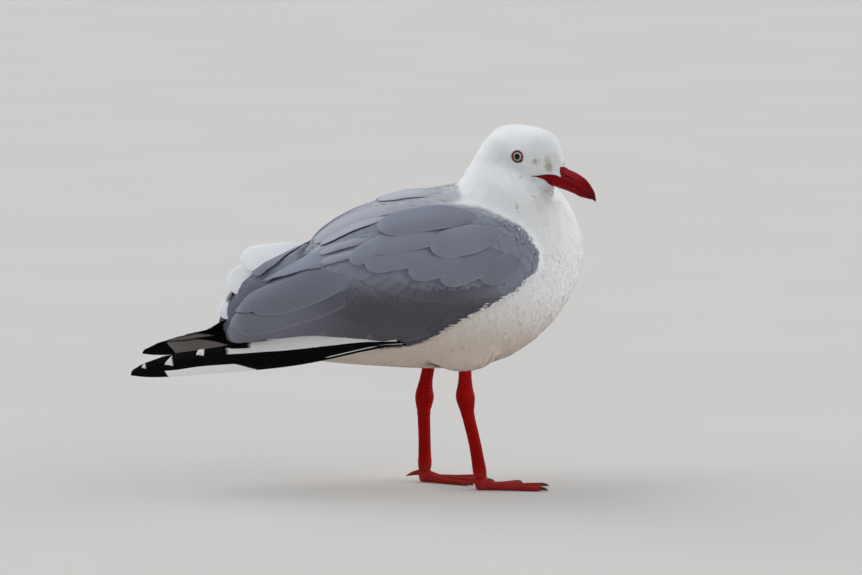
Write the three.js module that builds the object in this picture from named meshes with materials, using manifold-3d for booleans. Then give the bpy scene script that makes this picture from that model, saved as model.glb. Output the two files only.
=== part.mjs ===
// A standing adult silver gull, life size, in millimetres. +X is forward, +Y is the bird's left, +Z is up.
// The whole bird is first laid out in a working frame with the floor at z = 0, and the finished group is then
// moved so that the centre of its footprint box is the origin.
import * as THREE from "three";
import { mergeVertices } from "three/addons/utils/BufferGeometryUtils.js";
import Module from "manifold-3d";

const wasm = await Module();
wasm.setup();

// ---- driving dimensions -------------------------------------------------------------------------------
const GAP = 0.3; // clearance between pieces that touch
const HEAD_YAW = -55; // degrees, the head looks out over the bird's right shoulder
const HEAD_DOWN = 13; // degrees, the bill points below level
const HEAD_CENTRE = new THREE.Vector3(62.6, -5, 216.3); // on the head's midline at eye level
const EYE_RADIUS = 5.4;
const EYE_AT = { forward: 6.5, aside: 13.1, up: 1.5 }; // the eyeball's centre in the head's frame
const EYE_AIM = 68; // degrees that each eye looks aside from straight ahead
const EYELID = { across: 3.85, thick: 0.7, out: 5.11 }; // the bare ring round the eye, out from its centre
const SOLE = { long: 5.2, wide: 4.2, high: 5 }; // half sizes of the pad under the root of the toes
const FOOT_TOP = 7.6; // where the tarsus stands on the foot
const TOES = [
  { length: 38, spread: -28 }, // inner
  { length: 46, spread: 0 }, // middle
  { length: 44, spread: 27 }, // outer
];
const CLAW = 0.87; // the part of a toe's length where its claw begins
const WEB_THICKNESS = 1;
const FINENESS = 0.08; // detail smaller than this is dropped after cutting
const HIND_TOE = { height: 6.4, length: 12.5 };
const LEGS = {
  // stance is how far the foot is from the midline. along is where the leg stands: [height, x]
  right: {
    side: -1,
    stance: 24,
    ankle: 60.3,
    toeYaw: 8,
    along: [[6, 29.4], [20, 27.2], [34, 24.5], [50, 20.6], [60, 19], [74, 18.9], [96, 18]],
  },
  left: {
    side: 1,
    stance: 17,
    ankle: 55.6,
    toeYaw: -14,
    along: [[6, -1.6], [20, -1.8], [34, -2], [46, -2.4], [55.5, -2], [66, -1], [92, 4]],
  },
};

const rad = THREE.MathUtils.degToRad;
const deg = THREE.MathUtils.radToDeg;

// ---- colours ------------------------------------------------------------------------------------------
const paint = (color, roughness) => new THREE.MeshStandardMaterial({ color, roughness, metalness: 0 });
const WHITE = paint(0xf2f1ee, 0.9);
const GREY = paint(0x8f9197, 0.85);
const BLACK = paint(0x17171a, 0.7);
const BILL_RED = paint(0xa01018, 0.45);
const LEG_RED = paint(0xb01410, 0.5);
const LID_RED = paint(0x9a1a14, 0.5);
const IRIS = paint(0xe9e4d8, 0.1);

// ---- solids -------------------------------------------------------------------------------------------
// A closed geometry as a solid that can be cut and joined.
function solidOf(geometry) {
  const bare = new THREE.BufferGeometry().setAttribute("position", geometry.getAttribute("position"));
  if (geometry.index) bare.setIndex(geometry.index);
  const merged = mergeVertices(bare, 1e-3);
  return new wasm.Manifold(
    new wasm.Mesh({
      numProp: 3,
      vertProperties: merged.getAttribute("position").array,
      triVerts: new Uint32Array(merged.index.array),
    }),
  );
}

// A solid as a geometry again, keeping only its largest body.
function geometryOf(solid) {
  const largest = solid.simplify(FINENESS).decompose().sort((a, b) => b.volume() - a.volume())[0];
  const { numProp, vertProperties, triVerts } = largest.getMesh();
  const points = new Float32Array((vertProperties.length / numProp) * 3);
  for (let i = 0; i < points.length / 3; i++) {
    points.set(vertProperties.subarray(i * numProp, i * numProp + 3), i * 3);
  }
  const geometry = new THREE.BufferGeometry();
  geometry.setAttribute("position", new THREE.BufferAttribute(points, 3));
  geometry.setIndex(new THREE.BufferAttribute(new Uint32Array(triVerts), 1));
  geometry.computeVertexNormals();
  return geometry;
}

// A box given by two corners, as a solid.
function block(low, high) {
  const box = new THREE.Box3(new THREE.Vector3(...low), new THREE.Vector3(...high));
  const size = box.getSize(new THREE.Vector3());
  const centre = box.getCenter(new THREE.Vector3());
  return solidOf(new THREE.BoxGeometry(...size).translate(...centre));
}

// The two sides of a slanting cut that runs across the bird through two points seen from the side, [x, z].
function part(solid, a, b) {
  const along = new THREE.Vector3(b[0] - a[0], 0, b[1] - a[1]);
  const normal = new THREE.Vector3(along.z, 0, -along.x).normalize();
  const level = normal.dot(new THREE.Vector3(a[0], 0, a[1]));
  const ahead = solid.trimByPlane(normal.toArray(), level + GAP / 2);
  const behind = solid.trimByPlane(normal.clone().negate().toArray(), GAP / 2 - level);
  return [ahead, behind];
}

// ---- lofts --------------------------------------------------------------------------------------------
// A loft runs through stations. Each gives the section's centre, the way it faces (yaw about +Z, pitch up
// from level, roll about its own axis, in degrees) and its reach: to the back, to the front and to each side.
const station = (at, [yaw, pitch, roll = 0], [back, front, side]) => ({
  at: new THREE.Vector3(...at),
  aim: new THREE.Vector3(yaw, pitch, roll),
  reach: new THREE.Vector3(back, front, side),
});

// A station given by where its lowest and highest points show from the side, both as [x, z].
function slice(low, high, side, { y = 0, roll = 0 } = {}) {
  const [dx, dz] = [high[0] - low[0], high[1] - low[1]];
  const half = Math.hypot(dx, dz) / 2;
  const centre = [(low[0] + high[0]) / 2, y, (low[1] + high[1]) / 2];
  return station(centre, [0, deg(Math.atan2(-dx, dz)), roll], [half, half, side]);
}

const smooth = (points) => new THREE.CatmullRomCurve3(points, false, "catmullrom", 0.5);

// The loft has rings sections with sides corners each, and is closed by a point at both ends. grow swells
// every section, full below 1 squares its corners, and mirrored swaps left for right.
function loft(list, { rings, sides, grow = 0, full = 1, mirrored = false }) {
  const centres = smooth(list.map((s) => s.at));
  const aims = smooth(list.map((s) => s.aim));
  const reaches = smooth(list.map((s) => s.reach));
  const points = [];
  for (let i = 0; i < rings; i++) {
    const t = i / (rings - 1);
    const centre = centres.getPoint(t);
    const [yaw, pitch, roll] = aims.getPoint(t).toArray().map(rad);
    const [toBack, toFront, toSide] = reaches.getPoint(t).toArray().map((r) => Math.max(r, 0.4) + grow);
    const level = new THREE.Vector3(Math.cos(yaw), Math.sin(yaw), 0);
    const upright = level.clone().multiplyScalar(-Math.sin(pitch)).setZ(Math.cos(pitch));
    const across = new THREE.Vector3(-Math.sin(yaw), Math.cos(yaw), 0);
    const back = upright.clone().multiplyScalar(Math.cos(roll)).addScaledVector(across, Math.sin(roll));
    const side = across.clone().multiplyScalar(Math.cos(roll)).addScaledVector(upright, -Math.sin(roll));
    for (let k = 0; k < sides; k++) {
      const angle = (2 * Math.PI * k) / sides;
      const [u, v] = [Math.cos(angle), Math.sin(angle)].map((w) => Math.sign(w) * Math.abs(w) ** full);
      const along = u * (u > 0 ? toBack : toFront);
      points.push(centre.clone().addScaledVector(back, along).addScaledVector(side, v * toSide));
    }
  }
  const beyond = (end, next) => end.clone().addScaledVector(end.clone().sub(next).normalize(), 2 * grow);
  const ends = [[0, 1], [-1, -2]].map(([a, b]) => points.push(beyond(list.at(a).at, list.at(b).at)) - 1);
  const faces = [];
  const corner = (i, k) => i * sides + (k % sides);
  for (let k = 0; k < sides; k++) {
    faces.push([ends[0], corner(0, k), corner(0, k + 1)]);
    faces.push([ends[1], corner(rings - 1, k + 1), corner(rings - 1, k)]);
    for (let i = 0; i < rings - 1; i++) {
      faces.push([corner(i, k), corner(i + 1, k), corner(i, k + 1)]);
      faces.push([corner(i + 1, k), corner(i + 1, k + 1), corner(i, k + 1)]);
    }
  }
  if (mirrored) {
    points.forEach((p) => (p.y = -p.y));
    faces.forEach((f) => f.reverse());
  }
  const geometry = new THREE.BufferGeometry().setFromPoints(points);
  geometry.setIndex(faces.flat());
  return solidOf(geometry);
}

// ---- the head's own frame -----------------------------------------------------------------------------
const headForward = new THREE.Vector3(
  Math.cos(rad(HEAD_YAW)) * Math.cos(rad(HEAD_DOWN)),
  Math.sin(rad(HEAD_YAW)) * Math.cos(rad(HEAD_DOWN)),
  -Math.sin(rad(HEAD_DOWN)),
);
const headLeft = new THREE.Vector3(-Math.sin(rad(HEAD_YAW)), Math.cos(rad(HEAD_YAW)), 0);
const headUp = new THREE.Vector3().crossVectors(headForward, headLeft);
const headFrame = new THREE.Matrix4().makeBasis(headForward, headLeft, headUp).setPosition(HEAD_CENTRE);
const inHead = (forward, left, up) => new THREE.Vector3(forward, left, up).applyMatrix4(headFrame);

// A section across the head or bill: how far forward, the height of its middle, then its reach up, down and
// to each side.
const across = (forward, middle, reach) =>
  station(inHead(forward, 0, middle).toArray(), [HEAD_YAW, -HEAD_DOWN], reach);

// ---- head, neck and body ------------------------------------------------------------------------------
const HEAD = [
  across(-31.5, 1, [2, 2, 3]),
  across(-29, 1, [8, 8, 9.5]),
  across(-23.5, 0.5, [12.8, 12.5, 15.5]),
  across(-15, 0, [16.2, 16.5, 19]),
  across(-5, 0, [18.2, 18.5, 20.3]),
  across(5, 0, [19.4, 18.8, 18.6]),
  across(13, 0, [19.7, 17.8, 15.6]),
  across(20, -1, [18.4, 15.8, 11.4]),
  across(25, -2, [15.2, 13.4, 8]),
  across(28.8, -3, [11.4, 11, 5.9]),
  across(31.2, -4, [6.2, 8.6, 4.2]),
  across(32.2, -5, [2, 3, 2]),
];
const BODY = [
  slice([-104, 94], [-105, 100], 9),
  slice([-96, 88.5], [-99, 111], 20),
  slice([-72, 82.8], [-81, 128], 31),
  slice([-37, 79.3], [-57, 152], 42),
  slice([0, 76.8], [-31, 177], 49),
  slice([40, 79.4], [-8, 187], 51),
  slice([73, 99], [4, 191], 50),
  slice([94, 128], [12, 194], 46.5),
  slice([100.6, 153], [18.5, 198.5], 41.5, { y: -1 }),
  slice([95, 174], [23.5, 205], 35.5, { y: -2 }),
  slice([87.5, 188], [28, 213.5], 25.5, { y: -1 }),
  slice([80, 197], [34, 220], 15.5, { y: 0 }),
  slice([72, 204], [44, 222], 8, { y: 0 }),
  slice([63, 211], [55, 217], 3, { y: -1 }),
];
const headForm = (grow = 0) => loft(HEAD, { rings: 17, sides: 18, grow });
const bodyForm = (grow = 0) => loft(BODY, { rings: 28, sides: 24, grow });

// ---- back and wings -----------------------------------------------------------------------------------
// The grey mantle and the scapulars that fall from it over both wings.
const MANTLE = [
  slice([-80, 154], [-80, 158.5], 3),
  slice([-77, 148], [-78, 162], 11),
  slice([-66, 138], [-69, 170.5], 22),
  slice([-46, 130], [-50, 182], 32),
  slice([-20, 128], [-24, 191.2], 37),
  slice([4, 132], [0, 195], 37),
  slice([22, 146], [14, 197.3], 32),
  slice([32, 164], [24, 198], 20),
  slice([34, 174], [31, 190], 8),
];
const mantleForm = (grow = 0) => loft(MANTLE, { rings: 14, sides: 18, grow });

// The arm of a folded wing, from the tertial tips to the wrist, drawn as the right wing. The left wing's
// tertials stand a little higher.
const armStations = (tertials) => [
  slice([-136, 99.5], [-137, 104 + tertials[0]], 1.5, { y: -24 }),
  slice([-131, 98.5], [-132.5, 112.5 + tertials[1]], 6, { y: -24.5 }),
  slice([-116, 99.5], [-119, 130 + tertials[2]], 13.5, { y: -22.5 }),
  slice([-92, 100], [-92, 147.5 + tertials[3]], 22, { y: -20 }),
  slice([-66, 96], [-66, 164.5], 30, { y: -19 }),
  slice([-38, 91.5], [-38, 179], 36, { y: -20 }),
  slice([-6, 94], [-6, 187], 38, { y: -20 }),
  slice([26, 106], [26, 187], 34, { y: -22 }),
  slice([50, 125], [50, 179], 25.5, { y: -29 }),
  slice([60, 140], [60, 166], 15, { y: -36.5 }),
  slice([64.5, 150], [64.5, 158], 4.5, { y: -42.5 }),
];
const TERTIALS = { right: [0, 0, 0, 0], left: [0, 3.5, 6, 4] };
const armForm = (name, grow = 0) =>
  loft(armStations(TERTIALS[name]), { rings: 17, sides: 17, grow, full: 0.82, mirrored: name === "left" });

// Two raised tertials of the left wing, thin blades that show above the right one.
const RAISED = [
  slice([-121, 139], [-122.5, 146], 0.9, { y: 21 }),
  slice([-116, 138], [-118, 151], 1.2, { y: 20.5 }),
  slice([-100, 139], [-101, 156.5], 1.4, { y: 19 }),
  slice([-82, 140], [-81, 158], 1.5, { y: 16 }),
  slice([-66, 148], [-66, 156], 1.2, { y: 13 }),
];

// The stacked primaries of each wing, from their tips to the wrist.
const HANDS = {
  right: [
    slice([-197, 76.5], [-197.5, 78.5], 0.8, { y: -15, roll: 30 }),
    slice([-190, 75.2], [-189, 84.5], 1.6, { y: -16.5, roll: 30 }),
    slice([-172, 75.5], [-171, 91.5], 2.4, { y: -20, roll: 30 }),
    slice([-150, 77], [-149, 94.5], 3, { y: -24, roll: 30 }),
    slice([-118, 80.5], [-117, 100], 3.2, { y: -30, roll: 25 }),
    slice([-80, 86], [-79, 106], 3.2, { y: -38, roll: 20 }),
    slice([-42, 93.5], [-41, 106], 2.6, { y: -44, roll: 15 }),
    slice([-20, 97.5], [-20, 102], 1.2, { y: -47, roll: 10 }),
  ],
  left: [
    slice([-187, 87.7], [-187.5, 89.2], 0.8, { y: -12, roll: 30 }),
    slice([-178, 87], [-177, 93.6], 1.6, { y: -14, roll: 30 }),
    slice([-162, 86.5], [-160, 98.6], 2.4, { y: -17.5, roll: 30 }),
    slice([-142, 86.5], [-140, 103], 3, { y: -22, roll: 30 }),
    slice([-116, 87], [-115, 106], 3.2, { y: -29, roll: 25 }),
    slice([-80, 89], [-79, 107], 3.2, { y: -38, roll: 20 }),
    slice([-42, 94], [-41, 106], 2.6, { y: -44, roll: 15 }),
    slice([-20, 97.5], [-20, 102], 1.2, { y: -47, roll: 10 }),
  ],
};
const handForm = (name) => loft(HANDS[name], { rings: 13, sides: 10, mirrored: name === "left" });

// ---- tail ---------------------------------------------------------------------------------------------
const TAIL = [
  slice([-170, 81.5], [-170, 83.5], 12),
  slice([-168, 81.2], [-168, 84], 15.5),
  slice([-150, 83], [-150, 87], 16),
  slice([-120, 86], [-120, 92.5], 15),
  slice([-96, 89], [-97, 100], 14),
  slice([-82, 92], [-84, 106], 12),
];

// ---- bill ---------------------------------------------------------------------------------------------
// Each station gives how far forward it is, the height of the mouth line, the mandible's own height there
// and its half width.
const upper = (forward, mouth, rise, half) => across(forward, mouth, [rise, 0.4, half]);
const lower = (forward, mouth, drop, half) => across(forward, mouth, [0.4, drop, half]);
const UPPER_BILL = [
  upper(22, -6, 5, 6),
  upper(32, -5.8, 7.2, 5),
  upper(38, -5.8, 6.7, 4.5),
  upper(45, -5.9, 6.6, 4.1),
  upper(50, -6.2, 6.3, 3.7),
  upper(55, -6.8, 5.7, 3.2),
  upper(60.5, -8.3, 4.2, 2.5),
  upper(64.6, -10.3, 2.9, 1.6),
  upper(66.8, -11.6, 0.8, 0.5),
];
const LOWER_BILL = [
  lower(24, -7.4, 4.5, 6.5),
  lower(33, -6.8, 6.1, 4.7),
  lower(39, -6.7, 5.9, 4.2),
  lower(44, -6.8, 5.7, 3.8),
  lower(49, -7, 5.6, 3.4),
  lower(53.5, -7.6, 5.4, 2.9),
  lower(58, -8.8, 3.7, 2.2),
  lower(61.3, -10.3, 1.8, 1.4),
  lower(63, -11.4, 0.5, 0.5),
];
const billForm = (list, grow = 0) => loft(list, { rings: 12, sides: 10, grow });

// ---- eyes ---------------------------------------------------------------------------------------------
// An eyeball and its ring, with the socket that takes both out of the head.
function eyeSolids(side) {
  const centre = inHead(EYE_AT.forward, side * EYE_AT.aside, EYE_AT.up);
  const look = new THREE.Vector3(Math.cos(rad(EYE_AIM)), side * Math.sin(rad(EYE_AIM)), 0.05);
  look.transformDirection(headFrame);
  const turn = new THREE.Quaternion().setFromUnitVectors(new THREE.Vector3(0, 0, 1), look);
  const place = (geometry, out) => {
    geometry.applyQuaternion(turn);
    return solidOf(geometry.translate(...centre.clone().addScaledVector(look, out)));
  };
  const ball = place(new THREE.IcosahedronGeometry(EYE_RADIUS, 2), 0);
  const ring = place(new THREE.TorusGeometry(EYELID.across, EYELID.thick, 5, 14), EYELID.out);
  const rim = EYELID.across + EYELID.thick + GAP;
  const depth = 8;
  const recess = new THREE.CylinderGeometry(rim, rim, depth, 16).rotateX(Math.PI / 2);
  const socket = place(new THREE.IcosahedronGeometry(EYE_RADIUS + GAP + 0.05, 1), 0).add(
    place(recess, EYELID.out - EYELID.thick - GAP + depth / 2),
  );
  return { ball, ring, socket };
}

// ---- legs ---------------------------------------------------------------------------------------------
const BELOW_FLOOR = block([-400, -400, -50], [400, 400, 0]);

// Half widths of the leg: back, front and aside. The tarsus goes by its own length, from the foot up to the
// ankle, and the tibia by the height above the ankle.
const TARSUS = [[0, 4.2, 3.8, 3.2], [0.12, 4.2, 4.1, 3.2], [0.22, 3.9, 3.8, 2.7], [0.45, 3.7, 3.7, 2.5],
  [0.77, 3.9, 3.8, 2.7], [0.9, 4.7, 4.9, 3.3], [1, 5, 5.2, 3.6]];
const TIBIA = [[0, 5, 5.2, 3.6], [4, 5.2, 4.9, 3.7], [9, 4.5, 4.2, 3.3], [16, 3.8, 3.8, 3],
  [34, 4.4, 4.2, 3.6]];

// A stretch of a leg as a loft whose sections lie level, each centred on the leg's line at its height.
function limb({ side, stance, along }, heights, reaches, rings) {
  const line = smooth(along.map(([z, x]) => new THREE.Vector3(x, side * stance, z)));
  const fine = line.getPoints(200);
  const list = heights.map((z, i) => {
    const at = fine.reduce((best, p) => (Math.abs(p.z - z) < Math.abs(best.z - z) ? p : best));
    return station([at.x, at.y, z], [0, 90], reaches[i]);
  });
  return loft(list, { rings, sides: 12 });
}

// The three webbed toes and the small raised hind toe, as one piece that is flat underneath.
function footSolid({ side, stance, along, toeYaw }) {
  const heel = along[0][1];
  const root = new THREE.Vector3(heel, side * stance, 0);
  const out = (yaw, distance, z) => [
    root.x + Math.cos(rad(yaw)) * distance,
    root.y + Math.sin(rad(yaw)) * distance,
    z,
  ];
  const toes = TOES.map(({ length, spread }) => {
    const yaw = toeYaw + side * spread;
    const list = [
      [0, 4.6, 3.6, 5, 3.2],
      [0.09, 4, 2.9, 4.4, 2.8],
      [0.24, 2.4, 1.8, 3, 2.1],
      [0.55, 1.8, 1.4, 2.4, 1.7],
      [CLAW - 0.02, 1.7, 1.3, 2.2, 1.6],
      [CLAW + 0.02, 1.6, 1.2, 1.4, 1],
      [1, 0.8, 0.4, 0.5, 0.4],
    ].map(([t, z, up, down, half]) => station(out(yaw, length * t, z), [yaw, 0], [up, down, half]));
    return loft(list, { rings: 7, sides: 7 });
  });
  const tip = (i, t) => {
    const yaw = rad(toeYaw + side * TOES[i].spread);
    return new THREE.Vector2(Math.cos(yaw), Math.sin(yaw)).multiplyScalar(TOES[i].length * t);
  };
  const outline = new THREE.Shape();
  outline.moveTo(0, 0);
  outline.lineTo(...tip(0, CLAW));
  for (const i of [0, 1]) {
    const sag = tip(i, 0.72).lerp(tip(i + 1, 0.72), 0.5);
    outline.quadraticCurveTo(...sag, ...tip(i + 1, CLAW));
  }
  outline.closePath();
  const web = solidOf(
    new THREE.ExtrudeGeometry(outline, { depth: WEB_THICKNESS, bevelEnabled: false, curveSegments: 3 })
      .translate(root.x, root.y, 0),
  );
  const pad = solidOf(
    new THREE.SphereGeometry(1, 10, 6)
      .rotateX(Math.PI / 2)
      .scale(SOLE.long, SOLE.wide, SOLE.high)
      .translate(root.x + 1, root.y, FOOT_TOP - SOLE.high + 0.6),
  );
  const back = 180 + toeYaw / 2;
  const hind = loft([
    station(out(back, 1, HIND_TOE.height), [back, 0], [1.8, 2.2, 1.7]),
    station(out(back, 6.5, HIND_TOE.height - 0.6), [back, -6], [1.6, 1.7, 1.5]),
    station(out(back, HIND_TOE.length, HIND_TOE.height - 2.6), [back, -24], [0.4, 0.4, 0.4]),
  ], { rings: 6, sides: 8 });
  return [...toes, web, pad, hind]
    .reduce((all, one) => all.add(one))
    .subtract(BELOW_FLOOR)
    .trimByPlane([0, 0, -1], -FOOT_TOP);
}

function legSolids(leg) {
  const low = FOOT_TOP + GAP;
  const span = leg.ankle - GAP / 2 - low;
  const tarsus = limb(leg, TARSUS.map(([t]) => low + span * t), TARSUS.map(([, ...reach]) => reach), 12);
  const tibiaHeights = TIBIA.map(([above]) => leg.ankle + GAP / 2 + above);
  const tibia = limb(leg, tibiaHeights, TIBIA.map(([, ...reach]) => reach), 9);
  return { tibia, tarsus, foot: footSolid(leg) };
}

// ---- assembly -----------------------------------------------------------------------------------------
const group = new THREE.Group();
function add(name, solid, material) {
  const mesh = new THREE.Mesh(geometryOf(solid), material);
  mesh.name = name;
  group.add(mesh);
}

const flesh = bodyForm(GAP + FINENESS).add(headForm(GAP + FINENESS));
const mantleGrown = mantleForm(GAP + FINENESS);

const [headWhole, below] = part(headForm().add(bodyForm()), [86, 189], [27.5, 212]);
const [neck, trunkAndRump] = part(below, [98.5, 145], [14, 194]);
const [trunk, rump] = part(trunkAndRump, [-14, 76], [14, 190]);
let head = headWhole;
for (const [name, side] of [["right", -1], ["left", 1]]) {
  const { ball, ring, socket } = eyeSolids(side);
  head = head.subtract(socket);
  add("eye_" + name, ball, IRIS);
  add("eyelid_" + name, ring, LID_RED);
}
add("head", head, WHITE);
add("bill_upper", billForm(UPPER_BILL).subtract(flesh), BILL_RED);
add("bill_lower", billForm(LOWER_BILL).subtract(flesh), BILL_RED);

add("neck", neck, WHITE);
add("trunk", trunk, WHITE);
add("rump", rump, WHITE);
add("tail", loft(TAIL, { rings: 7, sides: 12 }).subtract(flesh), WHITE);
add("mantle", mantleForm().subtract(flesh), GREY);

const farSide = {
  right: block([-400, -GAP / 2, -400], [400, 400, 400]),
  left: block([-400, -400, -400], [400, GAP / 2, 400]),
};
for (const name of ["right", "left"]) {
  const armGrown = armForm(name, GAP + FINENESS);
  add("wing_" + name, armForm(name).subtract(flesh).subtract(mantleGrown).subtract(farSide[name]), GREY);
  add("primaries_" + name, handForm(name).subtract(flesh).subtract(armGrown), BLACK);
}
const raised = loft(RAISED, { rings: 10, sides: 10 }).subtract(armForm("left", GAP + FINENESS));
add("tertials_left", raised.subtract(mantleGrown).subtract(flesh), GREY);

for (const name of ["right", "left"]) {
  const { tibia, tarsus, foot } = legSolids(LEGS[name]);
  add("tibia_" + name, tibia.subtract(flesh), LEG_RED);
  add("tarsus_" + name, tarsus, LEG_RED);
  add("foot_" + name, foot, LEG_RED);
}

// The centre of the footprint box becomes the origin.
const box = new THREE.Box3().setFromObject(group);
const middle = box.getCenter(new THREE.Vector3()).setZ(box.min.z);
for (const mesh of group.children) mesh.geometry.translate(-middle.x, -middle.y, -middle.z);

export default group;
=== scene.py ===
"""A life-size silver gull, standing with folded wings and its head turned to its right.

Lengths are in millimetres until a mesh is made. +X is forward, +Y is the bird's left, +Z is up, and the
floor is at z = 0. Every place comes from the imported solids: the coat is laid over their joined outer form.
"""

import math

import bmesh
import bpy
import numpy as np
from mathutils import Matrix, Vector
from mathutils.bvhtree import BVHTree
from mathutils.kdtree import KDTree


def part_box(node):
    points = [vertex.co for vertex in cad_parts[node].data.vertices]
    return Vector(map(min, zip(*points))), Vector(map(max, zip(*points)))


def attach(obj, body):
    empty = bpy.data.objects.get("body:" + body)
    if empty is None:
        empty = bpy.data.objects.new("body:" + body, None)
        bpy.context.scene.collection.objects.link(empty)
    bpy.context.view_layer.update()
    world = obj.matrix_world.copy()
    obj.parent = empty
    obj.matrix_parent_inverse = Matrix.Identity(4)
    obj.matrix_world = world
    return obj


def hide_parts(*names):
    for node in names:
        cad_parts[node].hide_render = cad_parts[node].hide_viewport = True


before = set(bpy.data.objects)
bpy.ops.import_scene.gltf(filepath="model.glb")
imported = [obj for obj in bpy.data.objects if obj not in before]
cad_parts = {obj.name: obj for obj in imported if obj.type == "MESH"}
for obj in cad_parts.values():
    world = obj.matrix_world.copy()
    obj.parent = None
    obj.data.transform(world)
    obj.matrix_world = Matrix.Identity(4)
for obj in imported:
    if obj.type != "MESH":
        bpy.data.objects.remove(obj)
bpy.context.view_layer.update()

MM = 0.001
SIDES = {"right": -1, "left": 1}
GREY_NODES = ("mantle", "wing_right", "wing_left")
FLESH = ("head", "neck", "trunk", "rump", *GREY_NODES)
EYES = ("eye_right", "eye_left", "eyelid_right", "eyelid_left")
VOXEL, SOFTENING = 1.5, 14  # how fine the body's form is, and how many times its creases are softened
FACE_VOXEL, FACE_SOFTENING = 0.6, 2  # the same for the face
DEPTH_SOFTENING = 12  # how many times the steps between the coat's depths are softened
CROWD, NEAREST = 3.2, 0.78  # how many places are tried for each spacing, and how much of it stays free
PATCH = 0.003  # how wide a tuft is on the OFBake map

HEAD_YAW = math.radians(-55)  # the head looks out over the right shoulder
HEAD_DOWN = math.radians(13)  # and the bill points a little down
EYES_AHEAD, EYES_ABOVE = 6.5, 1.5  # the eyes' place from the head's centre
EYE_CLEAR = 4.3  # how near an eye's axis the plumage comes


# ---- small sums ---------------------------------------------------------------------------------------
def unit(vectors):
    return vectors / np.maximum(np.linalg.norm(vectors, axis=-1, keepdims=True), 1e-9)


def squared(ways, normals):
    """Unit ways along surfaces that have these normals."""
    return unit(ways - (ways * normals).sum(-1, keepdims=True) * normals)


def ease(low, high, x):
    """0 below low, 1 above high and smooth between. High may be the lower of the two."""
    t = np.clip((x - low) / (high - low), 0, 1)
    return t * t * (3 - 2 * t)


def blend(a, b, share):
    return a + (b - a) * share


def curve(points, t):
    """A smooth line through points at parameters from 0 to 1, as far from each other as the points are."""
    points = np.asarray(points, float)
    reach = np.cumsum(np.r_[0, np.linalg.norm(np.diff(points, axis=0), axis=1)])
    return smooth_through(reach / reach[-1], points, t)


def smooth_through(knots, values, t):
    """Catmull-Rom interpolation of values given at rising knots."""
    knots, values, t = np.asarray(knots, float), np.asarray(values, float), np.asarray(t, float)
    flat = values.reshape(len(knots), -1)
    slopes = np.gradient(flat, knots, axis=0)
    i = np.clip(np.searchsorted(knots, t) - 1, 0, len(knots) - 2)
    span = knots[i + 1] - knots[i]
    s = np.clip((t - knots[i]) / span, 0, 1)[..., None]
    h = span[..., None]
    p, q, m, n = flat[i], flat[i + 1], slopes[i] * h, slopes[i + 1] * h
    made = (2 * s**3 - 3 * s**2 + 1) * p + (s**3 - 2 * s**2 + s) * m
    made = made + (3 * s**2 - 2 * s**3) * q + (s**3 - s**2) * n
    return made.reshape(t.shape + values.shape[1:])


# ---- where things are ---------------------------------------------------------------------------------
def middle_of(node):
    low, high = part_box(node)
    return np.array((low + high) / 2) / MM


head_forward = np.array([
    math.cos(HEAD_YAW) * math.cos(HEAD_DOWN),
    math.sin(HEAD_YAW) * math.cos(HEAD_DOWN),
    -math.sin(HEAD_DOWN),
])
head_left = np.array([-math.sin(HEAD_YAW), math.cos(HEAD_YAW), 0])
head_up = np.cross(head_forward, head_left)
head_axes = np.array([head_forward, head_left, head_up])
eye_at = {side: middle_of("eye_" + side) for side in SIDES}
look_of = {side: unit(middle_of("eyelid_" + side) - eye_at[side]) for side in SIDES}
head_centre = (eye_at["right"] + eye_at["left"]) / 2 - EYES_AHEAD * head_forward - EYES_ABOVE * head_up


def in_head(places):
    """Places given as forward, left and up in the head, in the row frame."""
    return head_centre + np.asarray(places, float) @ head_axes


def to_head(places):
    return (places - head_centre) @ head_axes.T


# ---- meshes -------------------------------------------------------------------------------------------
def placed(name, data):
    """A new object in the scene."""
    made = bpy.data.objects.new(name, data)
    bpy.context.scene.collection.objects.link(made)
    return made


def rows_of(elements, field, width, kind=np.float32):
    """What a field holds for each of a mesh's elements, as rows of width numbers."""
    values = np.empty(len(elements) * width, kind)
    elements.foreach_get(field, values)
    return values.reshape(-1, width)


def put_points(mesh, points):
    mesh.vertices.foreach_set("co", (points * MM).astype(np.float32).ravel())


def dress(mesh, marks):
    """Smooth shading, and every mark's number at each point."""
    mesh.polygons.foreach_set("use_smooth", np.ones(len(mesh.polygons), bool))
    for mark, values in marks.items():
        mesh.attributes.new(mark, "FLOAT", "POINT").data.foreach_set("value", values.astype(np.float32))


def side_by_side(*parts):
    """Arrays of any shapes that fit, as the last axis of one."""
    return np.stack(np.broadcast_arrays(*parts), axis=-1)


def turns(count):
    """Evenly spaced angles round a circle."""
    return np.linspace(0, 2 * math.pi, count, endpoint=False)


def spokes(turn, first, second):
    """Directions round an axis: first at angle 0, second a quarter turn on."""
    return np.cos(turn)[:, None] * first + np.sin(turn)[:, None] * second


def tube(rings, around):
    """The faces of a closed tube: four-cornered ones round it, and a fan over each end."""
    ring = np.arange(around)
    following = (ring + 1) % around
    quads = np.stack([ring, following, following + around, ring + around], axis=1)
    quads = (quads[None] + (np.arange(rings - 1) * around)[:, None, None]).reshape(-1, 4)
    fan = np.stack([np.zeros(around - 2, int), ring[1:-1], ring[2:]], axis=1)
    return quads, np.concatenate([fan[:, ::-1], fan + (rings - 1) * around])


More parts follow.
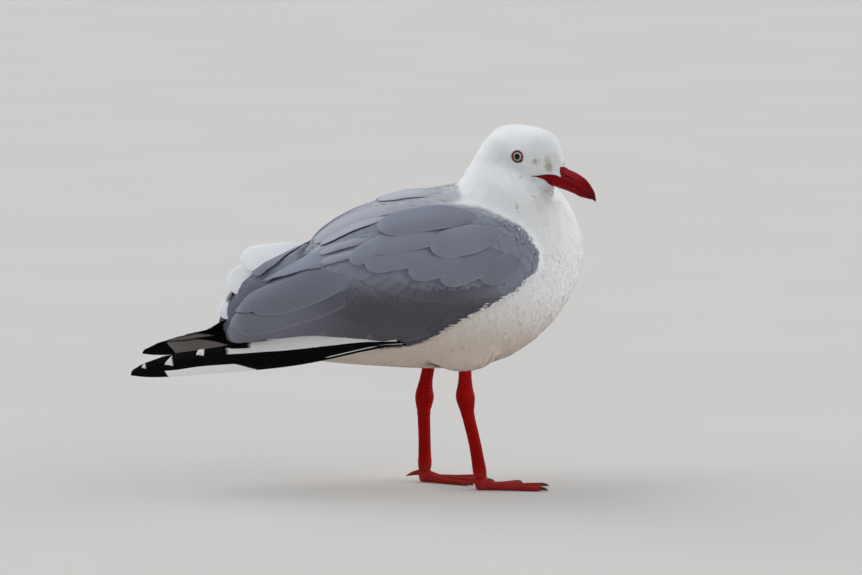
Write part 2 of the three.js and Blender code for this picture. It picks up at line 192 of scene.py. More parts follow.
def mesh_of(name, points, faces, maps, marks, normals=None):
    """A mesh from points, face arrays, each (count, corners), and UV maps, marks and normals by point."""
    corners = np.concatenate([f.ravel() for f in faces]).astype(np.int32)
    sizes = np.concatenate([np.full(len(f), f.shape[1]) for f in faces])
    mesh = bpy.data.meshes.new(name)
    mesh.vertices.add(len(points))
    put_points(mesh, points)
    mesh.loops.add(len(corners))
    mesh.loops.foreach_set("vertex_index", corners)
    mesh.polygons.add(len(sizes))
    mesh.polygons.foreach_set("loop_start", (np.cumsum(sizes) - sizes).astype(np.int32))
    mesh.update(calc_edges=True)
    for map_name, uv in maps.items():
        layer = mesh.uv_layers.new(name=map_name)
        layer.data.foreach_set("uv", uv[corners].astype(np.float32).ravel())
    dress(mesh, marks)
    if normals is not None:
        mesh.normals_split_custom_set_from_vertices(unit(normals).astype(np.float32))
    return mesh


def piece(name, mesh, finish, replaces=()):
    """A piece that rides with the bird."""
    made = placed(name, mesh)
    mesh.materials.append(finish)
    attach(made, "root")
    if replaces:
        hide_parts(*replaces)


class Batch:
    """Points, faces, normals, maps and marks of many small things that become one piece."""

    def __init__(self):
        self.points, self.normals, self.faces, self.total = [], [], [], 0
        self.maps, self.marks = {}, {}

    def add(self, points, faces, normals, maps, marks):
        self.points.append(points)
        self.normals.append(normals)
        self.faces += [f + self.total for f in faces]
        for held, given in ((self.maps, maps), (self.marks, marks)):
            for key, values in given.items():
                held.setdefault(key, []).append(values)
        self.total += len(points)

    def piece(self, name, finish, slot, replaces=()):
        maps = {key: np.concatenate(values) for key, values in self.maps.items()}
        marks = {key: np.concatenate(values) for key, values in self.marks.items()}
        by_size = {}
        for f in self.faces:
            by_size.setdefault(f.shape[1], []).append(f)
        faces = [np.concatenate(group) for group in by_size.values()]
        mesh = mesh_of(name, np.concatenate(self.points), faces, maps, marks, np.concatenate(self.normals))
        piece(name, mesh, finish, replaces)


# ---- the outer form and the skin ----------------------------------------------------------------------
class Form:
    """A closed surface that can be asked for its nearest place and its smooth normal there."""

    def __init__(self, nodes, voxel, rounds, swells=()):
        cast = bmesh.new()
        for node in nodes:
            cast.from_mesh(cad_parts[node].data)
        for centre, reach in swells:
            place = Matrix.LocRotScale(Vector(centre) * MM, None, Vector(reach) * MM)
            bmesh.ops.create_icosphere(cast, subdivisions=4, radius=1, matrix=place)
        bmesh.ops.remove_doubles(cast, verts=cast.verts, dist=1e-6)
        mesh = bpy.data.meshes.new("form")
        cast.to_mesh(mesh)
        cast.free()
        holder = placed("form", mesh)
        remesh = holder.modifiers.new("remesh", "REMESH")
        remesh.mode = "VOXEL"
        remesh.voxel_size = voxel * MM
        soften = holder.modifiers.new("soften", "SMOOTH")
        soften.factor = 0.5
        soften.iterations = rounds
        graph = bpy.context.evaluated_depsgraph_get()
        made = bpy.data.meshes.new_from_object(holder.evaluated_get(graph), depsgraph=graph)
        bpy.data.objects.remove(holder)
        bpy.data.meshes.remove(mesh)
        self.take(made)

    def take(self, mesh):
        self.source = mesh
        self.points = rows_of(mesh.vertices, "co", 3).astype(float) / MM
        self.vertex_normals = rows_of(mesh.vertex_normals, "vector", 3).astype(float)
        mesh.calc_loop_triangles()
        self.triangles = rows_of(mesh.loop_triangles, "vertices", 3, np.int32)
        self.tree = BVHTree.FromPolygons(self.points.tolist(), self.triangles.tolist())

    def find(self, places):
        """The nearest place on the surface to each place, its triangle and its weights there."""
        found = [self.tree.find_nearest(p) for p in places.tolist()]
        at = np.array([f[0] for f in found])
        picked = np.array([f[2] for f in found])
        return at, picked, weights(at, self.points[self.triangles[picked]])[..., None]

    def nearest(self, places):
        """The nearest places on the surface and the smooth normals there, for any shape of array."""
        at, picked, share = self.find(places.reshape(-1, 3))
        normals = (self.vertex_normals[self.triangles[picked]] * share).sum(1)
        return at.reshape(places.shape), unit(normals).reshape(places.shape)

    def piece(self, name, marks, finish, slot, replaces):
        """The form's own mesh as a piece."""
        dress(self.source, marks)
        self.source.materials.clear()
        piece(name, self.source, finish, replaces)

    def sprinkle(self, wanted, spacing, rng, keep=None):
        """Evenly spread places on the wanted triangles. spacing is how far apart they are, as a number or
        as a function of the triangles' middles."""
        corners = self.points[self.triangles]
        a, b, c = corners[:, 0], corners[:, 1], corners[:, 2]
        middles = corners.mean(1)
        if keep is not None:
            wanted = wanted & keep(middles)
        apart = spacing(middles) if callable(spacing) else np.full(len(middles), float(spacing))
        area = np.linalg.norm(np.cross(b - a, c - a), axis=1) / 2
        share = area * wanted / apart**2
        count = int(share.sum() * CROWD)
        picked = rng.choice(len(share), count, p=share / share.sum())
        root, turn = np.sqrt(rng.random(count)), rng.random(count)
        mix = np.stack([1 - root, root * (1 - turn), root * turn], axis=1)[..., None]
        places = (corners[picked] * mix).sum(1)
        kept = thinned(places, apart[picked] * NEAREST)
        picked, mix, places = picked[kept], mix[kept], places[kept]
        return picked, mix, places, unit((self.vertex_normals[self.triangles[picked]] * mix).sum(1))

    def seen_from(self, side, x, z):
        """The place that shows at x and z from the bird's side."""
        hit = self.tree.ray_cast((x, SIDES[side] * 300, z), (0, -SIDES[side], 0))[0]
        return np.array(hit)


def weights(places, corners):
    """Barycentric weights of places in triangles."""
    a, b, c = corners[:, 0], corners[:, 1], corners[:, 2]
    ab, ac, ap = b - a, c - a, places - a
    d00, d01, d11 = (ab * ab).sum(1), (ab * ac).sum(1), (ac * ac).sum(1)
    d20, d21 = (ap * ab).sum(1), (ap * ac).sum(1)
    below = np.maximum(d00 * d11 - d01 * d01, 1e-12)
    v, w = (d11 * d20 - d01 * d21) / below, (d00 * d21 - d01 * d20) / below
    return np.stack([1 - v - w, v, w], axis=1)


def unwrap(mesh):
    """Lays the mesh out flat as its OFBake map."""
    holder = placed("unwrap", mesh)
    bpy.context.view_layer.objects.active = holder
    holder.select_set(True)
    mesh.uv_layers.new(name="OFBake")
    bpy.ops.object.mode_set(mode="EDIT")
    bpy.ops.mesh.select_all(action="SELECT")
    bpy.ops.uv.smart_project(angle_limit=math.radians(66), island_margin=0.002)
    bpy.ops.object.mode_set(mode="OBJECT")
    bpy.data.objects.remove(holder)


# Where the coat is fuller than the solids: middle and reach each way.
SWELLS = [
    ((66.5, -23.5, 93.5), (24, 14, 16.5)),  # the feathered top of the right leg
    ((52, 17.5, 93.5), (24, 14, 16.5)),  # and of the left
    ((93, -1, 208), (17.2, 18, 17.2)),  # the nape
    ((97, -1, 214.5), (17.2, 17, 17)),
    ((84, 0, 198), (14.5, 16, 14.5)),
    ((116.6, -23.4, 190), (10, 9, 9)),  # the fold of the throat
]
# How deep the coat is over each part.
COAT_DEPTH = {
    "head": 0.8, "neck": 0.9, "trunk": 1.3, "rump": 1.4, "mantle": 1.1, "wing_right": 1.1, "wing_left": 1.1,
}


class Skin(Form):
    """The outer form of the flesh drawn in by the coat's depth, with a name for each stretch of it."""

    def __init__(self):
        super().__init__((*FLESH, *EYES), VOXEL, SOFTENING, SWELLS)
        self.zone = self.nearest_nodes()
        depth = np.array([COAT_DEPTH[n] for n in FLESH])[self.zone]
        edges = rows_of(self.source.edges, "vertices", 2, np.int32)
        for _ in range(DEPTH_SOFTENING):
            total, count = depth.copy(), np.ones(len(depth))
            for a, b in ((0, 1), (1, 0)):
                np.add.at(total, edges[:, a], depth[edges[:, b]])
                np.add.at(count, edges[:, a], 1)
            depth = total / count
        put_points(self.source, self.points - self.vertex_normals * depth[:, None])
        self.source.update()
        unwrap(self.source)
        self.take(self.source)
        loops = rows_of(self.source.loop_triangles, "loops", 3, np.int32)
        self.uv = rows_of(self.source.uv_layers["OFBake"].data, "uv", 2)[loops]

    def nearest_nodes(self):
        """The number in FLESH of the solid that each point lies nearest to."""
        places, faces, owner = [], [], []
        for number, node in enumerate(FLESH):
            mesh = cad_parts[node].data
            start = len(places)
            places += [tuple(v.co / MM) for v in mesh.vertices]
            faces += [[start + i for i in p.vertices] for p in mesh.polygons]
            owner += [number] * len(mesh.polygons)
        tree = BVHTree.FromPolygons(places, faces)
        return np.array([owner[tree.find_nearest(p)[2]] for p in self.points.tolist()])

    def scatter(self, node, spacing, rng, keep=None):
        """Evenly spread roots over one solid: their places, normals and places on the unwrap."""
        wanted = self.zone[self.triangles[:, 0]] == FLESH.index(node)
        picked, mix, places, normals = self.sprinkle(wanted, spacing, rng, keep)
        return places, normals, (self.uv[picked] * mix).sum(1)

    def uv_at(self, places):
        """Where places near the skin lie on its unwrap."""
        _, picked, share = self.find(places)
        return (self.uv[picked] * share).sum(1)


def tree_of(places):
    tree = KDTree(len(places))
    for i, place in enumerate(places.tolist()):
        tree.insert(place, i)
    tree.balance()
    return tree


def thinned(places, apart):
    """The numbers of the places that stay when none may be nearer to an earlier one than apart."""
    tree = tree_of(places)
    free = np.ones(len(places), bool)
    kept = []
    for i, place in enumerate(places.tolist()):
        if free[i]:
            kept.append(i)
            for _, j, _ in tree.find_range(place, apart[i]):
                free[j] = False
    return np.array(kept)


hull = Form((*FLESH, *EYES, "tail", "bill_upper", "bill_lower"), VOXEL, SOFTENING, SWELLS)
face = Form(("head", "bill_upper", "bill_lower"), FACE_VOXEL, FACE_SOFTENING)
skin = Skin()

# ---- the lie of the coat ------------------------------------------------------------------------------
# Which way the plumage points: at a place, a direction. The head's are in its own frame, the body's are
# given on the right and hold for both sides.
HEAD_LIE = [
    ((31, 0, 5), (-0.5, 0, 1)),
    ((28, 5, 0), (-0.9, 0.45, 0.25)),
    ((27, 6, -8), (-1, 0.4, -0.05)),
    ((25, 0, 14), (-1, 0, 0.8)),
    ((10, 0, 19), (-1, 0, 0.1)),
    ((-8, 0, 18), (-1, 0, -0.2)),
    ((-24, 0, 10), (-0.7, 0, -0.8)),
    ((16, 13, 0), (-1, 0.3, 0)),
    ((6, 19, 8), (-1, 0.05, 0.15)),
    ((6, 18, -6), (-1, 0.05, -0.25)),
    ((-8, 20, 0), (-1, -0.1, -0.2)),
    ((-18, 17, -4), (-0.85, -0.2, -0.55)),
    ((10, 13, -13), (-0.9, 0.15, -0.4)),
    ((-5, 16, -12), (-0.85, 0, -0.6)),
    ((22, 3, -15), (-0.85, 0, -0.5)),
    ((10, 0, -18), (-0.8, 0, -0.6)),
]
BODY_LIE = [
    ((64, 0, 197), (-0.9, 0, -0.35)),
    ((70, -22, 190), (-0.85, -0.15, -0.5)),
    ((95, -36, 184), (-0.72, 0, -0.7)),
    ((108, -42, 172), (-0.6, 0, -0.8)),
    ((120.8, -28.6, 190.3), (0.1, -0.4, -1)),
    ((125, -33, 180), (-0.2, 0, -1)),
    ((136, 0, 182), (0.25, 0, -1)),
    ((148, 0, 155), (0, 0, -1)),
    ((134, -32, 150), (-0.25, 0, -1)),
    ((117, -46, 150), (-0.65, 0, -0.75)),
    ((141, 0, 125), (-0.4, 0, -0.9)),
    ((120, -38, 122), (-0.65, 0, -0.75)),
    ((95, -50, 122), (-0.8, 0, -0.6)),
    ((118, 0, 98), (-0.85, 0, -0.5)),
    ((85, -38, 95), (-0.93, 0, -0.35)),
    ((60, 0, 77), (-1, 0, -0.1)),
    ((45, -46, 97), (-1, 0, -0.12)),
    ((70, -49, 108), (-1, 0, -0.15)),
    ((90, -50, 118), (-1, 0, -0.18)),
    ((104, -48, 130), (-0.95, 0, -0.25)),
    ((0, 0, 79), (-1, 0, 0.05)),
    ((-10, -30, 90), (-1, 0, 0.03)),
    ((-50, 0, 90), (-1, 0, 0.08)),
    ((-40, 0, 135), (-0.85, 0, -0.5)),
    ((-20, 0, 160), (-0.85, 0, -0.5)),
    ((20, 0, 187), (-0.95, 0, -0.25)),
    ((20, -40, 175), (-0.95, 0, -0.3)),
    ((80, -52, 165), (-0.93, 0, -0.35)),
    ((100, -52, 150), (-0.8, 0, -0.6)),
    ((60, -56, 130), (-0.97, 0, -0.25)),
    ((0, -50, 125), (-0.96, 0, -0.28)),
    ((-50, -30, 120), (-0.9, 0, -0.42)),
]


def lie_guides():
    """The places and ways of both tables, those off the middle on both sides of it."""
    places, ways = [], []
    for table, centre, axes in ((HEAD_LIE, head_centre, head_axes), (BODY_LIE, np.zeros(3), np.eye(3))):
        for at, way in table:
            for flip in (1, -1) if at[1] else (1,):
                mirror = np.array((1.0, flip, 1.0))
                places.append(centre + (at * mirror) @ axes)
                ways.append((way * mirror) @ axes)
    return np.array(places), unit(np.array(ways))


GUIDES = lie_guides()


def lie_at(places, normals):
    """Which way the coat points at places on the body, along the surface there."""
    total = np.zeros(places.shape)
    for spot, way in zip(*GUIDES, strict=True):
        near = 1 / (((places - spot) ** 2).sum(1) + 16) ** 1.5
        total += near[:, None] * way
    return squared(total, normals)


# ---- finishes -----------------------------------------------------------------------------------------
class Value:
    """A number that changes over a surface. Arithmetic on it adds Math nodes."""

    def __init__(self, finish, socket):
        self.finish, self.socket = finish, socket

    def maths(self, operation, *given):
        return self.finish.node("Math", {"operation": operation}, dict(enumerate(given or (self,))))

    def __add__(self, other):
        return self.maths("ADD", self, other)

    def __sub__(self, other):
        return self.maths("SUBTRACT", self, other)

    def __rsub__(self, other):
        return self.maths("SUBTRACT", other, self)

    def __mul__(self, other):
        return self.maths("MULTIPLY", self, other)

    def __abs__(self):
        return self.maths("ABSOLUTE")

    __radd__, __rmul__ = __add__, __mul__


class Finish:
    """A material: its shader with constants set on it, and the nodes that vary it."""

    def __init__(self, name, **constants):
        self.material = bpy.data.materials.new(name)
        self.material.use_nodes = True
        self.tree = self.material.node_tree
        self.shader = self.tree.nodes["Principled BSDF"]
        for key, value in constants.items():
            self.shader.inputs[key.replace("_", " ")].default_value = value

    def node(self, kind, settings, sockets, output=0):
        made = self.tree.nodes.new("ShaderNode" + kind)
        for key, value in settings.items():
            setattr(made, key, value)
        for key, given in sockets.items():
            if isinstance(given, Value):
                self.tree.links.new(given.socket, made.inputs[key])
            else:
                made.inputs[key].default_value = given
        return Value(self, made.outputs[output])

    def mark(self, name):
        return self.node("Attribute", {"attribute_name": name}, {}, "Fac")

    def map(self, name):
        return self.node("UVMap", {"uv_map": name}, {})

    def place(self):
        return self.node("TexCoord", {}, {}, "Object")

    def noise(self, scale, detail=2.0, stretch=None):
        where = self.place()
        if stretch:
            where = self.node("VectorMath", {"operation": "MULTIPLY"}, {0: where, 1: stretch})
        return self.node("TexNoise", {}, {"Vector": where, "Scale": scale, "Detail": detail})

    def barbs(self, slant, fineness):
        """A fine wave that slants away from the shaft on either side of it."""
        vane = self.map("Vane")
        along, aside = (self.node("SeparateXYZ", {}, {0: vane}, axis) for axis in (0, 1))
        return ((along + abs(aside) * slant) * fineness).maths("SINE")

    def step(self, low, high, x):
        """0 below low, 1 above high, smooth between."""
        sockets = {"Value": x, "From Min": low, "From Max": high}
        return self.node("MapRange", {"interpolation_type": "SMOOTHSTEP"}, sockets)

    def mix(self, share, first, second):
        """A colour between two."""
        colours = [c if isinstance(c, Value) else (*c, 1.0) for c in (first, second)]
        return self.node("Mix", {"data_type": "RGBA"}, {0: share, 6: colours[0], 7: colours[1]}, 2)

    def dim(self, colour, share):
        """A colour times a number."""
        grey = self.node("CombineColor", {}, {0: share, 1: share, 2: share})
        sockets = {0: 1.0, 6: colour, 7: grey}
        return self.node("Mix", {"data_type": "RGBA", "blend_type": "MULTIPLY"}, sockets, 2)

    def bump(self, height, distance, strength=1.0):
        sockets = {"Height": height, "Distance": distance * MM, "Strength": strength}
        return self.node("Bump", {}, sockets)

    def finished(self, **links):
        for key, value in links.items():
            self.tree.links.new(value.socket, self.shader.inputs[key.replace("_", " ")])
        return self.material


WHITE = (0.92, 0.92, 0.915)
# WHITE_SHADED is the white with painted shade, for the roots of the tufts down among the others
WHITE_SHADED = (0.87, 0.87, 0.87)
# WARM_SHADE is the white in painted shade with the floor's warm light on it, for the belly
WARM_SHADE = (0.72, 0.62, 0.54)
GREY = (0.28, 0.295, 0.36)
# GREY_SHADED is the grey with painted shade, for the lower and rear wing
GREY_SHADED = (0.105, 0.098, 0.118)
GREY_RIM = (0.42, 0.43, 0.46)
STAIN = (0.35, 0.27, 0.08)


def coat_finish(name):
    """White plumage that turns grey over the back and wings, with the few stains of the head and neck,
    painted shade at the tufts' roots and on the lower wing, and warm painted shade on the belly.
    """
    finish = Finish(name, Roughness=0.85, Specular_IOR_Level=0.15)
    tone, reach = finish.mark("tone"), finish.mark("reach")
    cloud = finish.noise(60.0)
    fine = finish.noise(700.0, 1.0)
    # painted shade: each tuft is darker towards its root, down among the other tufts
    white = finish.mix(finish.step(0.0, 0.6, reach), WHITE_SHADED, WHITE)
    # painted shade darkens the grey of the lower and rear wing
    grey = finish.mix(finish.mark("deep"), GREY, GREY_SHADED)
    # warm painted shade on the belly
    white = finish.mix(finish.mark("warm_shade"), white, WARM_SHADE)
    coat = finish.mix(finish.mark("grey"), white, grey)
    coat = finish.dim(coat, 0.98 + 0.018 * tone + 0.05 * (cloud - 0.5) + 0.03 * (fine - 0.5))
    coat = finish.mix(finish.mark("stain"), coat, STAIN)
    normal = finish.bump(fine, 0.05, 0.3)
    return finish.finished(Base_Color=coat, Normal=normal)


def vane_finish(name):
    """Grey and white feathers: a fine slant of barbs either side of the shaft, paler at the very edge, with
    painted shade on the lower wing and towards each root.
    """
    finish = Finish(name, Roughness=0.8, Specular_IOR_Level=0.15)
    across, reach, rim = finish.mark("across"), finish.mark("reach"), finish.mark("rim")
    barb = finish.barbs(1.1, 1100.0)
    cloud = finish.noise(90.0, 3.0)
    # painted shade darkens the grey of the lower and rear wing
    grey = finish.mix(finish.mark("deep"), GREY, GREY_SHADED)
    pale = finish.mark("pale")
    # pale whitens the vanes: the tail's own white, painted highlight on the upper scapulars and painted light
    # through the raised tertials
    grey = finish.mix(pale, grey, WHITE)
    edge = finish.step(0.75, 1.0, abs(across)) * 0.2 + finish.step(0.9, 1.0, reach) * 0.2
    grey = finish.mix(edge * rim * (1 - pale), grey, GREY_RIM)
    shade = 0.98 + 0.02 * finish.mark("tone") + 0.1 * (cloud - 0.5) + 0.02 * barb
    # painted shade: darker towards each feather's root, where it goes under the feathers over it
    root = 1 - rim * (1 - finish.step(0.1, 0.6, reach)) * 0.14
    normal = finish.bump(barb * 0.5, 0.03, 0.35)
    return finish.finished(Base_Color=finish.dim(grey, shade * root), Normal=normal)


def flight_finish():
    """Wing tips: black with a white mirror, a pearl at the end and a white outer web further up."""
    finish = Finish("flight feathers", Roughness=0.6, Specular_IOR_Level=0.03)
    along, across, tone = finish.mark("along"), finish.mark("across"), finish.mark("tone")
    ragged = along + 2.2 * (finish.noise(420.0, 2.0) - 0.5)
    start, end = finish.mark("mirror_from"), finish.mark("mirror_to")
    begun = finish.step(-0.6, 0.6, ragged + 4 * across - start)
    ended = finish.step(-1.2, 1.2, ragged + 16 * across - end)
    mirror = begun * (1 - ended)
    pearl = 1 - finish.step(-0.5, 0.5, ragged - finish.mark("pearl"))
    web = finish.step(-1.5, 1.5, ragged - finish.mark("web_from"))
    web = web * (1 - finish.step(-0.15, 0.15, finish.mark("inward") - finish.mark("web_wide")))
    white = mirror.maths("MAXIMUM", mirror, pearl)
    white = white.maths("MAXIMUM", white, web)
    fine = finish.noise(500.0, 2.0)
    black = finish.mix(finish.step(0.35, 0.75, fine), (0.002, 0.002, 0.0025), (0.006, 0.0055, 0.005))
    # pale greys the white towards brown: on the left wing it is painted shade on the underside that faces
    # away from the light
    pale = finish.mix(finish.mark("pale"), (0.8, 0.79, 0.775), (0.25, 0.22, 0.2))
    colour = finish.mix(white, black, pale)
    colour = finish.dim(colour, 1 + 0.08 * tone + 0.1 * (fine - 0.5))
    return finish.finished(Base_Color=colour, Normal=finish.bump(finish.barbs(1.0, 1000.0), 0.03, 0.3))


def bill_finish():
    """Deep red horn, darker towards the tip, with painted shade along its edges where the mandibles meet and
    in the nostril.
    """
    finish = Finish("bill horn", Specular_IOR_Level=0.07)
    ahead, high, slit = finish.mark("ahead"), finish.mark("high"), finish.mark("slit")
    cloud, fine = finish.noise(160.0, 3.0), finish.noise(900.0, 3.0)
    streak = finish.noise(120.0, 2.0, stretch=(1.0, 1.0, 6.0))
    colour = finish.mix(finish.step(0.3, 0.8, cloud), (0.21, 0.001, 0.004), (0.3, 0.002, 0.01))
    colour = finish.mix(finish.step(52, 66, ahead) * 0.7, colour, (0.05, 0.005, 0.005))
    # painted shade along the edges where the mandibles meet
    colour = finish.mix((1 - finish.step(0.0, 0.16, high)) * 0.4, colour, (0.06, 0.001, 0.002))
    # painted shade in the nostril's slit and along the line of the gape
    colour = finish.mix(slit, colour, (0.03, 0.003, 0.003))
    # lighter and darker streaks along the horn: its grain, and painted highlight as well
    colour = finish.dim(colour, 1 + 0.5 * (streak - 0.5))
    rough = 0.36 + 0.16 * (fine - 0.5) + 0.1 * slit
    return finish.finished(Base_Color=colour, Roughness=rough, Normal=finish.bump(fine + streak, 0.05, 0.3))


def leg_finish():
    """Red scaled skin, darker in the joints between the scales and on the toes."""
    finish = Finish("leg scales", Specular_IOR_Level=0.06)
    scute, low = finish.mark("scute"), finish.mark("low")
    between = abs(scute.maths("FRACT") - 0.5)
    groove = finish.mark("front") * finish.step(0.36, 0.48, between)
    cloud, grain = finish.noise(70.0, 3.0), finish.noise(800.0, 2.0)
    sockets = {"Vector": finish.place(), "Scale": 900.0}
    cells = finish.node("TexVoronoi", {"feature": "DISTANCE_TO_EDGE"}, sockets)
    seam = 1 - finish.step(0.02, 0.16, cells)
    colour = finish.mix(finish.step(0.3, 0.75, cloud), (0.3, 0.001, 0.0008), (0.42, 0.003, 0.002))
    colour = finish.mix(low * 0.75, colour, (0.37, 0.033, 0.028))
    colour = finish.mix(groove * 0.6, colour, (0.06, 0.003, 0.003))
    colour = finish.mix(seam * 0.25, colour, (0.09, 0.004, 0.004))
    height = 0.5 * grain - 0.6 * seam - groove
    rough = 0.42 + 0.2 * (grain - 0.5) + 0.1 * groove
    return finish.finished(Base_Color=colour, Roughness=rough, Normal=finish.bump(height, 0.12, 0.5))


def claw_finish():
    """Dark horn claws."""
    finish = Finish("claw horn", Specular_IOR_Level=0.5)
    fine = finish.noise(600.0, 3.0)
    colour = finish.mix(fine, (0.012, 0.008, 0.008), (0.045, 0.024, 0.02))
    return finish.finished(Base_Color=colour, Roughness=0.3 + 0.2 * fine, Normal=finish.bump(fine, 0.05, 0.4))


def ring_finish():
    """Bare dark red skin round the eye."""
    finish = Finish("eye ring skin", Specular_IOR_Level=0.5)
    fine, warts = finish.noise(900.0, 2.0), finish.noise(1500.0, 1.0)
    colour = finish.mix(finish.mark("high"), (0.06, 0.003, 0.003), (0.22, 0.01, 0.01))
    colour = finish.dim(colour, 0.85 + 0.5 * (fine - 0.5))
    return finish.finished(Base_Color=colour, Roughness=0.4 + 0.2 * fine, Normal=finish.bump(warts, 0.1, 0.5))


def eye_finish():
    """Black pupil, cream-white iris with fine spokes and a dark rim, all wet."""
    finish = Finish("eye", Roughness=0.06, Specular_IOR_Level=0.2, Coat_Weight=0.1, Coat_Roughness=0.03)
    out, turn = finish.mark("out"), finish.mark("turn")
    spokes_seen = (turn * 46.0).maths("SINE")
    grain = finish.noise(2600.0, 2.0)
    mottle = finish.step(0.2, 0.8, grain + 0.12 * spokes_seen)
    iris = finish.mix(mottle, (0.52, 0.46, 0.36), (0.8, 0.76, 0.68))
    iris = finish.mix(finish.step(2.6, 3.0, out), iris, (0.1, 0.05, 0.03))
    iris = finish.mix(1 - finish.step(1.88, 2.15, out), iris, (0.3, 0.25, 0.18))
    colour = finish.mix(finish.step(1.84, 1.96, out), (0.002, 0.002, 0.002), iris)
    return finish.finished(Base_Color=colour)


def floor_finish():
    """A plain pale floor."""
    finish = Finish("pale floor", Roughness=0.9)
    cloud = finish.noise(3.0, 3.0)
    colour = finish.mix(cloud, (0.62, 0.585, 0.55), (0.68, 0.645, 0.61))
    return finish.finished(Base_Color=colour)


# ---- marks on the coat --------------------------------------------------------------------------------
# Where the white coat is stained: place, radius, how strong.
STAINS = [
    ((113.7, -27.8, 213), 2.0, 0.6),
    ((120.3, -29.9, 215.3), 1.5, 0.3),
    ((120.7, -30.2, 212.8), 1.9, 0.45),
    ((121.0, -30.4, 210.3), 2.0, 0.6),
    ((121.1, -30.5, 208.3), 1.5, 0.5),
    ((101.1, -39.4, 186.3), 1.2, 0.6),
    ((101.6, -40.2, 183), 0.9, 0.3),
    ((105, -24.8, 202.5), 1.3, 0.35),
    ((115, -35.9, 187.1), 4.0, 0.12),
    ((119.5, -31, 189.5), 4.0, 0.14),
]


def stains_at(places):
    strongest = np.zeros(len(places))
    for at, radius, strength in STAINS:
        away = np.linalg.norm(places - np.array(at), axis=1)
        strongest = np.maximum(strongest, strength * (1 - ease(0.6 * radius, 1.5 * radius, away)))
    return strongest


def painted_shade_of_grey(places):
    """Painted shade on the grey: 0 on the shoulder feathers, which face the light, and up to 1 on the lower
    and rear wing, painted darker as they face away from it.
    """
    x, z = places[:, 0], places[:, 2]
    line = np.interp(x, [-90, -40, 0, 50, 80, 112], [150, 148, 147, 147, 144, 140])
    return ease(4, -20, z - line) * blend(1, 0.5, ease(5, -60, x))


def paleness(places):
    """How much paler the grey is: a little along the back, and it fades out towards the neck."""
    y, z = np.abs(places[:, 1]), places[:, 2]
    return blend(0.22 * ease(150, 165, z) * ease(38, 18, y), 0.45, ease(174, 200, z))


def edge_finder(grey):
    """Finds the nearest of the skin's places under grey feathers, or under white ones."""
    nodes = [FLESH.index(n) for n in FLESH if (n in GREY_NODES) == grey]
    return tree_of(skin.points[np.isin(skin.zone, nodes)])


TO_GREY, TO_WHITE = edge_finder(True), edge_finder(False)


def inside_grey(places):
    """How far inside the grey of the back and wings places are, below 0 outside it."""
    return np.array([TO_WHITE.find(p)[2] - TO_GREY.find(p)[2] for p in places.tolist()])


def greyness(places, inside):
    """0 on the white coat, 1 on the grey, with a soft edge that is widest on the back of the neck."""
    soft = blend(1.6, 7.0, ease(172, 190, places[:, 2]))
    return ease(-1, 1, inside / soft) * (1 - paleness(places))


def painted_warm_shade(places):
    """How much warm painted shade the white has, for the shaded underside lit from the warm floor: none
    above, most on the belly and less on the rump.
    """
    return ease(142, 92, places[:, 2]) * blend(0.3, 1, ease(-60, -25, places[:, 0]))


# ---- the skin -----------------------------------------------------------------------------------------
def skin_piece():
    """The skin under the coat, white under the plumage and grey under the wing feathers."""
    grey = greyness(skin.points, inside_grey(skin.points))
    marks = {
        "grey": grey,
        "deep": painted_shade_of_grey(skin.points),
        "stain": stains_at(skin.points) * 0.7,
        "warm_shade": painted_warm_shade(skin.points),
        "tone": np.zeros(len(grey)),
        "reach": np.full(len(grey), 0.5),
    }
    skin.piece("skin", marks, coat_finish("skin under the coat"), "white_plumage", FLESH)


# ---- the small feathers -------------------------------------------------------------------------------
# For barbs of three and of four rings: where the rings are along them, and how wide all but the last are.
BARB_STEPS = {3: (0.1, 0.86, 1), 4: (0.08, 0.5, 0.88, 1)}
BARB_SHARES = {3: (0.5, 1), 4: (0.45, 0.95, 0.95)}
TURNED, SIZES = 0.1, (0.82, 1.18)  # how much tufts differ in their way and in size
UNEVEN, UNEQUAL = 0.06, 0.035  # how much barbs differ in their place and length
SUNK = 0.27  # how deep in the coat the middle of a tuft lies
VAULT = -0.05  # how much higher than its middle a tuft's sides lie, as a share of half its width
BARB_HALF = 0.72  # half a barb's width as a share of the space between two


